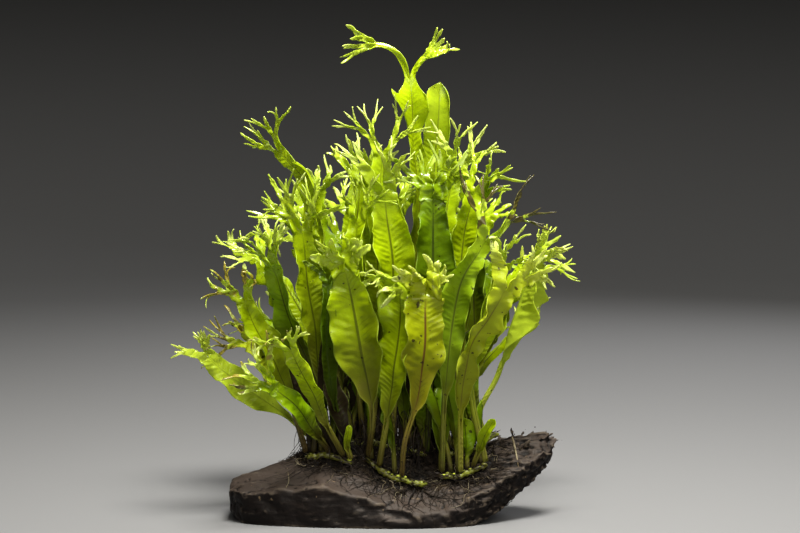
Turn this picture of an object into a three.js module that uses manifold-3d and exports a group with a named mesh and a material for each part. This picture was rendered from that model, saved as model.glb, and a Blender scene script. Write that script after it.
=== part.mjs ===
// A crested java fern growing on a piece of dark driftwood.
// Millimetres, +Z up, -Y towards the viewer. The origin is on the driftwood's flat underside.
import * as THREE from "three";
import { ConvexGeometry } from "three/addons/geometries/ConvexGeometry.js";
import { mergeVertices } from "three/addons/utils/BufferGeometryUtils.js";
import Module from "manifold-3d";

const wasm = await Module();
wasm.setup();

// Driving dimensions
const CLEARANCE = 0.3; // between pieces that rest on each other
const RHIZOME_RADIUS = 1.7;
const RHIZOME_SIDES = 6;
const STALK_WIDTH = 2.2;
const STALK_SHARE = 0.4; // of a frond's length below its crest
const BLADE_THICKNESS = 1.3; // over the midrib, thinning to nothing at the edges
const CREST_THICKNESS = 0.9;
const MAT_HEIGHT = 3.6;
const SPINE_STEPS = 48;
const ARM_STEPS = 8;
const ARM_LENGTHS = [0.36, 0.27, 0.2, 0.17]; // shares of a crest's length, fork by fork
const LAST_FORK = 2; // counted from 0, so that a crest ends in eight points
const ARM_WIDTHS = [0.54, 0.34]; // shares of the blade's width where each arm ends
const LEAST_ARM_WIDTH = 1.5;
const ARM_SEAT = 0.4; // how far an arm reaches back into what it grows from
const LEAST_FACE = 0.02; // faces thinner than this, which joins and cuts leave, are dropped
const OPENING_STEPS = 3; // of an arm's steps, those over which it swings out
const BENT_ARM_STOPS = [4, 8]; // the steps where a strongly bent arm has a section
const FORK_SHARES = [1, 0.9, 0.85]; // how wide each fork opens beside the first
const ARM_SETBACK = 0.2; // how far an arm swings back towards the crest's middle
const ARM_SPREAD = 36; // half the angle of a crest's first fork, in degrees
const ARM_BEND = 46; // how much an arm may bend to its front or back, in degrees
const ARM_ROLL = 50; // how much it may turn about its own length, in degrees
const ARM_PARTING = [14, 6, 0, 0]; // how far a fork's two arms lean apart, front and back, in degrees
const NECK = 0.5; // share of the blade's width that is left where its crest begins
const SHOULDER = 0.5; // how far up its blade a frond starts to narrow towards its neck
const WAIST_PINCH = 0.7; // share of its width that a blade with a waist loses there
const WAIST_REACH = 0.09; // how far up and down the blade the waist is felt
const DEGREE = Math.PI / 180;

const MATERIALS = {
  driftwood: new THREE.MeshStandardMaterial({ color: 0x1d1714, roughness: 0.85, metalness: 0 }),
  rhizome: new THREE.MeshStandardMaterial({ color: 0x6f8420, roughness: 0.6, metalness: 0 }),
  roots: new THREE.MeshStandardMaterial({ color: 0x2c2015, roughness: 0.95, metalness: 0 }),
  fresh_frond: new THREE.MeshStandardMaterial({ color: 0x9ccb1e, roughness: 0.4, metalness: 0 }),
  deep_frond: new THREE.MeshStandardMaterial({ color: 0x5c8a14, roughness: 0.4, metalness: 0 }),
  yellow_frond: new THREE.MeshStandardMaterial({ color: 0xa9a622, roughness: 0.45, metalness: 0 }),
  old_frond: new THREE.MeshStandardMaterial({ color: 0x2f2a14, roughness: 0.7, metalness: 0 }),
};

const at = (x, y, z) => new THREE.Vector3(x, y, z);

// A steady pseudo-random share from 0 to 1.
function chance(seed) {
  const s = Math.sin(seed * 127.1 + 311.7) * 43758.5453;
  return s - Math.floor(s);
}

const smooth = (low, high, x) => THREE.MathUtils.smoothstep(x, low, high);

// Solids

function solidOf(corners, faces) {
  const vertProperties = new Float32Array(corners.flatMap((p) => p.toArray()));
  const triVerts = new Uint32Array(faces.flat());
  return new wasm.Manifold(new wasm.Mesh({ numProp: 3, vertProperties, triVerts }));
}

// The smallest convex solid that holds some points.
function solidAround(points) {
  const geometry = new ConvexGeometry(points);
  geometry.deleteAttribute("normal");
  const { attributes, index } = mergeVertices(geometry);
  const vertProperties = new Float32Array(attributes.position.array);
  const triVerts = new Uint32Array(index.array);
  return new wasm.Manifold(new wasm.Mesh({ numProp: 3, vertProperties, triVerts }));
}

function geometryOfSolid(solid) {
  const { vertProperties, triVerts } = solid.getMesh();
  const geometry = new THREE.BufferGeometry();
  geometry.setAttribute("position", new THREE.BufferAttribute(vertProperties, 3));
  geometry.setIndex(new THREE.BufferAttribute(triVerts, 1));
  return geometry;
}

// The faces between rings of equal length, each ring closed, with both ends capped.
function loft(rings) {
  const sides = rings[0].length;
  const corners = rings.flat();
  const faces = [];
  const last = (rings.length - 1) * sides;
  for (let i = 0; i < rings.length - 1; i++) {
    for (let k = 0; k < sides; k++) {
      const a = i * sides + k;
      const b = i * sides + ((k + 1) % sides);
      faces.push([a, b, b + sides], [a, b + sides, a + sides]);
    }
  }
  for (let k = 1; k < sides - 1; k++) {
    faces.push([0, k + 1, k], [last, last + k, last + k + 1]);
  }
  return { corners, faces };
}

// Driftwood: sections across the log, left to right. Each is the front foot, front ridge, top, back shoulder
// and back foot as [y, z], with the front wall, the sloping top and the back wall between them.
const WOOD_SECTIONS = [
  { x: -64, frontFoot: [-11, 3], ridge: [-14, 12.5], top: [-4, 15], shoulder: [6, 12], backFoot: [7, 3] },
  { x: -60, frontFoot: [-17, 0], ridge: [-19, 13.5], top: [-4, 17], shoulder: [10, 13], backFoot: [12, 0] },
  { x: -50, frontFoot: [-22, 0], ridge: [-22, 14], top: [-3, 20.5], shoulder: [13, 15], backFoot: [17, 0] },
  { x: -38, frontFoot: [-25, 0], ridge: [-24, 14.5], top: [-1, 24.5], shoulder: [17, 17], backFoot: [21, 0] },
  { x: -26, frontFoot: [-27, 0], ridge: [-26, 15.5], top: [1, 27], shoulder: [20, 19], backFoot: [25, 0] },
  { x: -16, frontFoot: [-28, 0], ridge: [-26, 14], top: [2, 27.5], shoulder: [21, 19], backFoot: [27, 0] },
  { x: -4, frontFoot: [-29, 0], ridge: [-27, 9.5], top: [3, 26.5], shoulder: [22, 18], backFoot: [28, 0] },
  { x: 10, frontFoot: [-29, 0], ridge: [-28, 6], top: [3, 25], shoulder: [21, 17], backFoot: [27, 0] },
  { x: 22, frontFoot: [-27, 0], ridge: [-26, 7], top: [3, 25], shoulder: [19, 17], backFoot: [25, 0] },
  { x: 34, frontFoot: [-23, 0], ridge: [-23, 11], top: [3, 27], shoulder: [17, 20], backFoot: [21, 0] },
  { x: 44, frontFoot: [-17, 5], ridge: [-19, 17], top: [2, 30.5], shoulder: [14, 24], backFoot: [15, 6] },
  { x: 54, frontFoot: [-12, 13], ridge: [-15, 22], top: [0, 32.5], shoulder: [10, 28], backFoot: [10, 14] },
  { x: 61, frontFoot: [-8, 19], ridge: [-10, 26], top: [-1, 33.5], shoulder: [5, 30], backFoot: [5, 20] },
  { x: 65, frontFoot: [-4, 24], ridge: [-5, 27], top: [-2, 30], shoulder: [1, 28], backFoot: [1, 25] },
];
const WOOD_STEP = 5.4; // along the log
const WALL_STEPS = 3;
const TOP_STEPS = 6;
const BOTTOM_STEPS = 3;
const WOOD_ROUGHNESS = 1.1; // how far a corner stands in or out of its section
// Splinters that stand up from the log's broken right end: foot, height and radius.
const SPLINTERS = [
  { foot: [62, -1, 30], height: 5, radius: 1.6, lean: 12 },
  { foot: [57, 3, 30], height: 4, radius: 1.5, lean: -8 },
  { foot: [49, 1, 30], height: 3.4, radius: 1.6, lean: 10 },
  { foot: [42, 5, 26.5], height: 4.5, radius: 1.5, lean: -14 },
  { foot: [-38.5, -4, 21.5], height: 5, radius: 2.4, lean: 10 },
];

function woodSection(x) {
  const next = Math.max(1, WOOD_SECTIONS.findIndex((s) => s.x >= x));
  const low = WOOD_SECTIONS[next - 1];
  const high = WOOD_SECTIONS[next];
  const share = (x - low.x) / (high.x - low.x);
  const mix = (key) => [0, 1].map((i) => THREE.MathUtils.lerp(low[key][i], high[key][i], share));
  // Each stretch of the section: where it starts, its steps, and the way in which its corners are pushed.
  const stretches = [
    { from: mix("frontFoot"), steps: WALL_STEPS, push: [-1, 0] },
    { from: mix("ridge"), steps: TOP_STEPS, push: [0, 1] },
    { from: mix("top"), steps: TOP_STEPS, push: [0, 1] },
    { from: mix("shoulder"), steps: WALL_STEPS, push: [1, 0] },
    { from: mix("backFoot"), steps: BOTTOM_STEPS, push: [0, 0] },
  ];
  const ring = [];
  stretches.forEach(({ from, steps, push }, i) => {
    const to = stretches[(i + 1) % stretches.length].from;
    for (let k = 0; k < steps; k++) {
      const y = THREE.MathUtils.lerp(from[0], to[0], k / steps);
      const z = THREE.MathUtils.lerp(from[1], to[1], k / steps);
      const onFrontFoot = i === 0 && k === 0;
      const seed = Math.round(x * 3) * 41 + i * 7 + k;
      const depth = onFrontFoot ? 0 : WOOD_ROUGHNESS * (2 * chance(seed) - 1);
      ring.push(at(x, y + push[0] * depth, z + push[1] * depth));
    }
  });
  return ring.reverse();
}

function splinter({ foot, height, radius, lean }) {
  const base = at(...foot);
  const corners = [0, 90, 180, 270].map((turn) => {
    return at(Math.cos(turn * DEGREE) * radius, Math.sin(turn * DEGREE) * radius, -radius).add(base);
  });
  corners.push(at(Math.sin(lean * DEGREE) * height, 0, height).add(base));
  return solidOf(corners, [[0, 1, 4], [1, 2, 4], [2, 3, 4], [3, 0, 4], [0, 2, 1], [0, 3, 2]]);
}

function driftwood() {
  const first = WOOD_SECTIONS[0].x;
  const last = WOOD_SECTIONS.at(-1).x;
  const count = Math.round((last - first) / WOOD_STEP);
  const rings = [];
  for (let i = 0; i <= count; i++) {
    rings.push(woodSection(THREE.MathUtils.lerp(first, last, i / count)));
  }
  const { corners, faces } = loft(rings);
  return SPLINTERS.reduce((log, s) => log.add(splinter(s)), solidOf(corners, faces));
}

const wood = driftwood();
const woodMesh = new THREE.Mesh(geometryOfSolid(wood), MATERIALS.driftwood);
woodMesh.name = "driftwood";

// The wood's height under a point, or the highest within reach of it.
function woodTop(x, y, reach = 0) {
  const down = at(0, 0, -1);
  let highest = 0;
  for (const [dx, dy] of [[0, 0], [reach, 0], [-reach, 0], [0, reach], [0, -reach]]) {
    const hits = new THREE.Raycaster(at(x + dx, y + dy, 100), down).intersectObject(woodMesh);
    if (hits.length) highest = Math.max(highest, hits[0].point.z);
  }
  return highest;
}

// Rhizomes: creeping stems over the wood, as [x, y] points that each stem passes.
const RHIZOMES = {
  rhizome_front: [[-10, -8], [-4, -12], [3, -16.5], [15, -18]],
  rhizome_left: [[-34, -7], [-25, -9], [-15, -12]],
  rhizome_right: [[19, -13], [28, -14.5], [39, -12]],
  rhizome_ridge: [[-31, 2], [-14, 1], [1, 0], [15, -3]],
  rhizome_far: [[20, -3.5], [31, -2.5], [44, 1]],
  rhizome_back: [[-27, 12], [-8, 11.5], [10, 11], [30, 10]],
};
const RHIZOME_STEPS = 12;
const KNOB = 0.14; // share of its radius that a rhizome loses between its knobs
const RHIZOME_END = 0.55; // share of its radius at its ends

function rhizomeCurve(points) {
  const lift = RHIZOME_RADIUS + 2 * CLEARANCE;
  const flat = points.map(([x, y]) => at(x, y, 0));
  const raised = new THREE.CatmullRomCurve3(flat, false, "catmullrom", 0.5).getPoints(RHIZOME_STEPS);
  for (const p of raised) p.z = woodTop(p.x, p.y, RHIZOME_RADIUS) + lift;
  return raised;
}

function rhizomeSolid(line, grow = 0) {
  const rings = line.map((centre, i) => {
    const before = line[Math.max(0, i - 1)];
    const after = line[Math.min(line.length - 1, i + 1)];
    const along = after.clone().sub(before).normalize();
    const side = at(0, 0, 1).cross(along).normalize();
    const up = along.clone().cross(side);
    const atEnd = i === 0 || i === line.length - 1;
    const share = atEnd ? RHIZOME_END : 1 - KNOB * ((i + 1) % 2);
    const radius = share * RHIZOME_RADIUS + grow;
    return Array.from({ length: RHIZOME_SIDES }, (_, k) => {
      const turn = (k / RHIZOME_SIDES) * 2 * Math.PI;
      const across = centre.clone().addScaledVector(side, Math.cos(turn) * radius);
      return across.addScaledVector(up, Math.sin(turn) * radius);
    });
  });
  const { corners, faces } = loft(rings);
  return solidOf(corners, faces);
}

const rhizomeLines = {};
for (const [name, points] of Object.entries(RHIZOMES)) rhizomeLines[name] = rhizomeCurve(points);
const rhizomeRooms = Object.values(rhizomeLines).map((line) => rhizomeSolid(line, CLEARANCE));

// A point a share of the way along a rhizome, on its upper side.
function rootPoint([name, share]) {
  const line = rhizomeLines[name];
  const place = share * (line.length - 1);
  const i = Math.min(line.length - 2, Math.floor(place));
  const lift = RHIZOME_RADIUS + CLEARANCE;
  return line[i].clone().lerp(line[i + 1], place - i).add(at(0, 0, lift));
}

// Root mats: low mounds of fibre between the rhizomes, as centre, half length and half width.
const ROOT_MATS = {
  root_mat_left: { centre: [-25, -4], half: [12, 7] },
  root_mat_middle: { centre: [3, -9], half: [12, 9.5] },
  root_mat_right: { centre: [32, -8], half: [11, 7] },
  root_mat_back: { centre: [0, 12], half: [21, 7.5] },
};
const MAT_SPOKES = 10;
const MAT_RINGS = 2;
const MAT_DEPTH = 6; // of the mound below the wood's top, before the wood is cut out of it
const MAT_UNEVENNESS = 0.7;

function rootMat({ centre, half }, seed, neighbours) {
  const corners = [at(centre[0], centre[1], woodTop(...centre) + MAT_HEIGHT)];
  const faces = [];
  for (let r = 1; r <= MAT_RINGS; r++) {
    for (let k = 0; k < MAT_SPOKES; k++) {
      const turn = (k / MAT_SPOKES) * 2 * Math.PI;
      const share = (r / MAT_RINGS) * (0.86 + 0.28 * chance(seed * 50 + k));
      const x = centre[0] + half[0] * share * Math.cos(turn);
      const y = centre[1] + half[1] * share * Math.sin(turn);
      const rise = MAT_HEIGHT * (1 - (r / MAT_RINGS) ** 2) + MAT_UNEVENNESS * chance(seed * 90 + k * 5 + r);
      corners.push(at(x, y, woodTop(x, y) + rise));
    }
  }
  const rim = corners.slice(-MAT_SPOKES);
  corners.push(...rim.map((p) => at(p.x, p.y, p.z - MAT_DEPTH)));
  corners.push(at(centre[0], centre[1], woodTop(...centre) - MAT_DEPTH));
  const corner = (r, k) => 1 + (r - 1) * MAT_SPOKES + (k % MAT_SPOKES);
  for (let k = 0; k < MAT_SPOKES; k++) {
    faces.push([0, corner(1, k), corner(1, k + 1)]);
    faces.push([corners.length - 1, corner(MAT_RINGS + 1, k + 1), corner(MAT_RINGS + 1, k)]);
    for (let r = 1; r <= MAT_RINGS; r++) {
      faces.push([corner(r, k), corner(r + 1, k), corner(r + 1, k + 1)]);
      faces.push([corner(r, k), corner(r + 1, k + 1), corner(r, k + 1)]);
    }
  }
  const mound = solidOf(corners, faces).subtract(wood.translate([0, 0, CLEARANCE]));
  return largest([...rhizomeRooms, ...neighbours].reduce((left, room) => left.subtract(room), mound));
}

function largest(solid) {
  return solid.decompose().sort((a, b) => b.volume() - a.volume())[0].asOriginal().simplify(LEAST_FACE);
}

// Fronds
//
// from: rhizome and share along it. through: the points that the spine passes, up to the end of the blade.
// width: the blade's. face: the way the blade's upper side looks, in degrees from the viewer towards +X.
// crest: the length of the forked tip, or 0. spread: half the angle of its first fork. nod: how far the tip
// bends towards the side that it faces. waist: where the blade is pinched. firstArms: the first two arms' own
// spread and setback, and how much longer each is. stalk, neck, shoulder and arms stand for STALK_SHARE, NECK,
// SHOULDER and ARM_LENGTHS on one frond alone.
const FRONDS = [
  {
    from: ["rhizome_front", 0.72], through: [[6, -24, 34], [11, -28, 52], [13, -30, 70], [14, -29, 91]],
    width: 17, stalk: 0.52, neck: 0.85, crest: 15, spread: 40, nod: 60, kind: "yellow",
  },
  {
    from: ["rhizome_front", 0.32], through: [[0, -22, 49], [3, -25, 69], [4, -25, 92]],
    width: 16, neck: 0.7, crest: 22, spread: 45, nod: 85,
  },
  {
    from: ["rhizome_front", 0.08], through: [[-7, -20, 45], [-11, -26, 70], [-17, -29, 101]],
    width: 20, crest: 18, face: -8, nod: 20,
  },
  {
    from: ["rhizome_ridge", 0.66], through: [[2, -7, 62], [1, -11, 98], [-2, -14, 130]],
    width: 18, crest: 26, nod: 25,
  },
  {
    from: ["rhizome_ridge", 1], through: [[16, -10, 58], [17, -13, 95], [17, -15, 128]],
    width: 18, crest: 24, nod: 20, kind: "deep",
  },
  {
    from: ["rhizome_left", 0.2], through: [[-29, -10, 50], [-36, -15, 74], [-42, -17, 90], [-46, -18, 102]],
    width: 18, crest: 22, face: -20, nod: 10, kind: "deep",
  },
  {
    from: ["rhizome_left", 0.38], through: [[-28, -15, 58], [-31, -21, 90], [-34, -24, 116]],
    width: 14, crest: 22, face: -8, nod: 5,
  },
  {
    from: ["rhizome_left", 0.54], through: [[-30, -23, 38], [-37, -28, 48], [-45, -32, 56]],
    width: 10, crest: 21, face: 25, nod: -20, kind: "yellow",
  },
  {
    from: ["rhizome_left", 0.82], through: [[-25, -24, 41], [-31, -30, 57], [-38, -34, 71]],
    width: 9, stalk: 0.5, crest: 14, face: -10, nod: 30,
  },
  {
    from: ["rhizome_ridge", 0], through: [[-42, -2, 41], [-53, -5, 49], [-64, -8, 58], [-72, -9, 65]],
    width: 12, stalk: 0.3, crest: 13, face: 38, nod: 20,
  },
  {
    from: ["rhizome_back", 0], through: [[-37, 10, 50], [-48, 8, 63], [-57, 5, 69]],
    width: 12, crest: 19, face: 30, nod: 30, kind: "yellow",
  },
  {
    from: ["rhizome_ridge", 0.23], through: [[-23, -18, 55], [-25, -22, 76], [-24, -24, 96]],
    width: 11, crest: 14, nod: -30, kind: "deep",
  },
  {
    from: ["rhizome_ridge", 0.3], through: [[-20, -4, 60], [-26, -7, 90], [-32, -10, 112]],
    width: 17, crest: 24, face: -15,
  },
  {
    from: ["rhizome_right", 0.1], through: [[22, -21, 56], [27, -26, 94], [37, -29, 113]],
    width: 14, crest: 25, face: 12, kind: "deep",
  },
  {
    from: ["rhizome_right", 0.5], through: [[28, -23, 50], [31, -29, 70], [38, -33, 82], [44, -35, 94]],
    width: 13, waist: 0.4, neck: 0.7, crest: 20, face: 10, nod: 30, kind: "yellow",
  },
  {
    from: ["rhizome_right", 0.95], through: [[32, -16, 54], [35, -20, 80], [44, -23, 102]],
    width: 14, crest: 22, face: 18, nod: 20,
  },
  {
    from: ["rhizome_far", 0.78], through: [[36, -5, 43], [43, -8, 58], [48, -10, 76], [52, -11, 92], [58, -12, 104]],
    width: 15, stalk: 0.43, crest: 14, face: 28, nod: 10,
  },
  {
    from: ["rhizome_far", 0.36], through: [[27, -4, 78], [29, -5, 110], [33, -6, 130]],
    width: 12, crest: 20, face: 15,
  },
  {
    from: ["rhizome_far", 0.08], through: [[21, 1, 85], [22, 2, 118], [26, 2, 139]],
    width: 11, crest: 21, face: 12,
  },
  {
    from: ["rhizome_ridge", 0.84], through: [[10, 2, 75], [11, 4, 125], [8, 4, 176]],
    width: 15, waist: 0.72, shoulder: 0.9, neck: 0.22, crest: 33, arms: [0.6, 0.15, 0.13, 0.12], spread: 24,
    firstArms: [{ open: 20, reach: 1.4, setback: -2.2 }, { open: 38, reach: 0.62, setback: -0.5 }],
  },
  {
    from: ["rhizome_back", 0.72], through: [[17, 12, 85], [18, 12, 135], [20, 10, 174]],
    width: 13, crest: 0, face: 10,
  },
  {
    from: ["rhizome_ridge", 0.48], through: [[-4, -1, 75], [-5, -2, 112], [-3, -3, 145]],
    width: 13, crest: 22,
  },
  {
    from: ["rhizome_ridge", 0.16], through: [[-26, 4, 74], [-30, 5, 110], [-34, 5, 134], [-44, 4, 146]],
    width: 9, crest: 19, face: -15,
  },
  {
    from: ["rhizome_back", 0.36], through: [[-11, 8, 75], [-13, 8, 109], [-12, 7, 133]],
    width: 14, crest: 21, face: -6,
  },
  {
    from: ["rhizome_far", 0.57], through: [[34, 4, 72], [33, 6, 102], [33, 6, 124]],
    width: 14, crest: 20, face: 12, kind: "deep",
  },
  {
    from: ["rhizome_left", 0.02], through: [[-41, -10, 52], [-51, -14, 73], [-57, -16, 88]],
    width: 12, crest: 16, face: 8, nod: 10,
  },
  {
    from: ["rhizome_ridge", 0.4], through: [[-13, -5, 58], [-14, -9, 94], [-13, -12, 120]],
    width: 15, crest: 22, face: -4, nod: 10,
  },
  {
    from: ["rhizome_left", 0.68], through: [[-27, -16, 42], [-27, -17, 62], [-24, -18, 80]],
    width: 2.8, crest: 0, kind: "old",
  },
  {
    from: ["rhizome_left", 0.97], through: [[-17, -14, 30], [-17, -15, 34], [-16, -15, 39]],
    width: 2.6, crest: 0,
  },
  {
    from: ["rhizome_right", 0.74], through: [[36, -20, 32], [38, -24, 38], [41, -26, 43]],
    width: 4.5, crest: 0,
  },
];

// The far side of the plant, seen from behind: three ranks that lean out and back, each lower than the last.
// first and last: where the rank starts and ends along its rhizome. lean: how far the tips lie behind their
// roots. height: from root to the blade's end. fan: how far the outermost tips lie to each side.
const BACK_RANKS = [
  { count: 7, first: 0.1, last: 0.94, lean: 10, height: 97, fan: 27, width: 15 },
  { count: 7, first: 0.04, last: 0.98, lean: 22, height: 84, fan: 28, width: 15 },
  { count: 5, first: 0.18, last: 0.86, lean: 31, height: 52, fan: 30, width: 13 },
];
const BACK_CREST = 22;
const BACK_NOD = 10;
const BACK_KINDS = ["fresh", "deep", "fresh"];
const OUTER_LOSS = 0.22; // share of its height that the outermost frond of a rank loses
const OUTER_TURN = 45; // how far the outermost frond of a rank looks to its side
// How far up, and how far out, a back frond's spine has come at each of its points.
const BACK_SPINE = [[0.36, 0.18], [0.72, 0.52], [1, 1]];

function backFronds() {
  return BACK_RANKS.flatMap(({ count, first, last, lean, height, fan, width }, rank) => {
    return Array.from({ length: count }, (_, k) => {
      const across = (2 * k) / (count - 1) - 1;
      const seed = rank * 20 + k;
      const from = ["rhizome_back", THREE.MathUtils.lerp(first, last, k / (count - 1))];
      const root = rootPoint(from);
      const tall = height * (1 - OUTER_LOSS * across ** 2) * (0.9 + 0.2 * chance(seed + 500));
      const back = lean * (0.85 + 0.3 * chance(seed + 600));
      return {
        from,
        through: BACK_SPINE.map(([rise, reach]) => {
          return [root.x + across * fan * reach, root.y + back * reach, root.z + tall * rise];
        }),
        width: width * (0.85 + 0.3 * chance(seed + 700)),
        face: 180 - across * OUTER_TURN,
        crest: BACK_CREST,
        nod: BACK_NOD,
        kind: BACK_KINDS[seed % 3],
      };
    });
  });
}

// A frame is a place with its heading, the side to its right and the way that its upper face looks.
function turned(frame, yaw, pitch, roll) {
  const { place } = frame;
  let { along, side, facing } = frame;
  const swing = (a, b, angle) => [
    a.clone().multiplyScalar(Math.cos(angle)).addScaledVector(b, Math.sin(angle)),
    b.clone().multiplyScalar(Math.cos(angle)).addScaledVector(a, -Math.sin(angle)),
  ];
  [along, side] = swing(along, side, yaw);
  [along, facing] = swing(along, facing, pitch);
  [side, facing] = swing(side, facing, roll);
  return { place, along, side, facing };
}

// Frames up the spine of a frond, carried along without spinning.
function spineFrames({ root, through, face }) {
  const points = [root, ...through.map((p) => at(...p))];
  const places = new THREE.CatmullRomCurve3(points, false, "catmullrom", 0.5).getSpacedPoints(SPINE_STEPS);
  const looks = at(Math.sin(face * DEGREE), -Math.cos(face * DEGREE), 0);
  let side = null;
  return places.map((place, i) => {
    const before = places[Math.max(0, i - 1)];
    const after = places[Math.min(SPINE_STEPS, i + 1)];
    const along = after.clone().sub(before).normalize();
    side = side ? side.clone().addScaledVector(along, -side.dot(along)) : along.clone().cross(looks);
    side.normalize();
    return { place, along, side, facing: side.clone().cross(along) };
  });
}

function bladeWidth(share, { stalk = STALK_SHARE, width, neck = NECK, shoulder = SHOULDER, waist }) {
  const t = (share - stalk) / (1 - stalk);
  const pinch = waist ? 1 - WAIST_PINCH * Math.exp(-(((t - waist) / WAIST_REACH) ** 2)) : 1;
  const swell = smooth(0, 0.42, t) * (1 - (1 - neck) * smooth(shoulder, 1, t)) * pinch;
  return STALK_WIDTH + (width - STALK_WIDTH) * swell;
}

// One arm of a crest: short steps from a fork to where it forks again. It swings out over the first few
// steps and back over the others, and it bends and rolls a little all the way.
function armFrames(frame, level, side, spec, seed) {
  const { crest, spread = ARM_SPREAD, nod, arms = ARM_LENGTHS, firstArms } = spec;
  const own = level === 0 && firstArms ? firstArms[(side + 1) / 2] : {};
  const { open = spread, reach = 1, setback = ARM_SETBACK } = own;
  const jitter = (n) => chance(seed + n * 0.37) - 0.5;
  const yaw = side * open * DEGREE * FORK_SHARES[level] * (1 + 0.6 * jitter(1));
  const pitch = (nod * ARM_LENGTHS[level] + ARM_BEND * jitter(2) + side * ARM_PARTING[level]) * DEGREE;
  const roll = ARM_ROLL * jitter(3) * DEGREE;
  const length = crest * arms[level] * reach * (1 + 0.6 * jitter(4));
  const frames = [];
  let now = frame;
  for (let i = 0; i < ARM_STEPS; i++) {
    const opening = i < OPENING_STEPS ? yaw / OPENING_STEPS : (-setback * yaw) / (ARM_STEPS - OPENING_STEPS);
    now = turned(now, opening, pitch / ARM_STEPS, roll / ARM_STEPS);
    now = { ...now, place: now.place.clone().addScaledVector(now.along, length / ARM_STEPS) };
    frames.push(now);
  }
  return frames;
}

// Corners of a flat diamond section: under face, left edge, upper face, right edge.
function diamond({ place, side, facing }, width, thickness) {
  return [
    place.clone().addScaledVector(facing, -thickness / 2),
    place.clone().addScaledVector(side, -width / 2),
    place.clone().addScaledVector(facing, thickness / 2),
    place.clone().addScaledVector(side, width / 2),
  ];
}

// Where a frond has a section: 0 to 1 up its stalk, 1 to 2 up its blade.
const STATIONS = [0, 0.45, 1, 1.15, 1.35, 1.55, 1.78, 2];
const HIGH_SHOULDER_STATIONS = [0, 0.45, 1, 1.15, 1.35, 1.55, 1.72, 1.9, 2];
// A stalk is as thick as it is wide up to the first of these, and thins to a blade by the second.
const FLATTENING = [0.6, 1.3];
const BLUNT_END = 0.45; // how far a blade with no crest runs on to its point, as a share of its width there

// A frond as one solid: stalk, blade and forked crest. grow widens it all round, for testing clearance.
function frondSolid(spec, grow = 0) {
  const { stalk = STALK_SHARE, shoulder = SHOULDER, crest, seed, arms = ARM_LENGTHS } = spec;
  const frames = spineFrames(spec);
  const rings = (shoulder > SHOULDER ? HIGH_SHOULDER_STATIONS : STATIONS).map((station) => {
    const share = station <= 1 ? station * stalk : stalk + (station - 1) * (1 - stalk);
    const round = 1 - smooth(...FLATTENING, station);
    const thick = BLADE_THICKNESS + (STALK_WIDTH - BLADE_THICKNESS) * round;
    const frame = frames[Math.round(share * SPINE_STEPS)];
    return diamond(frame, bladeWidth(share, spec) + 2 * grow, thick + 2 * grow);
  });
  const { corners, faces } = loft(rings);
  const pieces = [solidOf(corners, faces)];
  const tipWidth = bladeWidth(1, spec);
  const pointAhead = ({ place, along }, reach) => place.clone().addScaledVector(along, reach + grow);
  const fork = ([under, left, upper, right], frame, level, id) => {
    [-1, 1].forEach((side, i) => {
      const arm = id * 2 + i;
      const half = [under, upper, [left, right][i]];
      const middle = half.reduce((sum, p) => sum.addScaledVector(p, 1 / 3), at(0, 0, 0));
      half.push(middle.addScaledVector(frame.along, -ARM_SEAT));
      const steps = armFrames(frame, level, side, spec, seed * 64 + arm);
      const end = steps.at(-1);
      if (level === LAST_FORK) {
        pieces.push(solidAround([...half, pointAhead(end, crest * arms[LAST_FORK + 1])]));
        return;
      }
      const armWidth = Math.max(LEAST_ARM_WIDTH, tipWidth * ARM_WIDTHS[level]);
      const stops = level === 0 && spec.firstArms ? BENT_ARM_STOPS : [ARM_STEPS];
      let from = half;
      let section = null;
      for (const stop of stops) {
        const now = steps[stop - 1];
        section = diamond(now, armWidth + 2 * grow, CREST_THICKNESS + 2 * grow);
        pieces.push(solidAround([...from, ...section]));
        from = [...section, now.place.clone().addScaledVector(now.along, -ARM_SEAT)];
      }
      fork(section, end, level + 1, arm);
    });
  };
  if (crest) fork(rings.at(-1), frames.at(-1), 0, 1);
  else pieces.push(solidAround([...rings.at(-1), pointAhead(frames.at(-1), tipWidth * BLUNT_END)]));
  return wasm.Manifold.union(pieces);
}

// Ways that a frond may turn to keep clear of those already grown, in degrees.
const FACE_TURNS = [0, 14, -14, 28, -28, 42, -42];
const NOD_TURNS = [0, 30, -30, 60];
const WAYS = FACE_TURNS.flatMap((face) => NOD_TURNS.map((nod) => ({ face, nod })));

// Grows the fronds one by one. Each takes the first way that is clear of the others, or else the one that
// meets them least, and gives up what it shares with them.
function growFronds() {
  const grown = [];
  [...FRONDS, ...backFronds()].forEach((row, i) => {
    const spec = { face: 0, nod: 0, ...row, root: rootPoint(row.from), seed: i + 1 };
    let best = null;
    for (const way of WAYS) {
      const tried = { ...spec, face: spec.face + way.face, nod: spec.nod + way.nod };
      const solid = frondSolid(tried);
      const shared = grown.reduce((sum, { room }) => sum + solid.intersect(room).volume(), 0);
      if (!best || shared < best.shared) best = { solid, tried, shared };
      if (shared === 0) break;
    }
    const met = grown.map(({ room }) => room).filter((room) => best.solid.intersect(room).volume() > 0);
    const solid = largest([...met, ...rhizomeRooms].reduce((left, room) => left.subtract(room), best.solid));
    const name = "frond_" + String(i + 1).padStart(2, "0");
    grown.push({ name, kind: row.kind ?? "fresh", solid, room: frondSolid(best.tried, CLEARANCE) });
  });
  return grown;
}

// The plant on its wood
const plant = new THREE.Group();
plant.add(woodMesh);

function addPiece(name, solid, material) {
  const mesh = new THREE.Mesh(geometryOfSolid(solid), material);
  mesh.name = name;
  plant.add(mesh);
}

for (const [name, line] of Object.entries(rhizomeLines)) {
  addPiece(name, rhizomeSolid(line), MATERIALS.rhizome);
}

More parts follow.
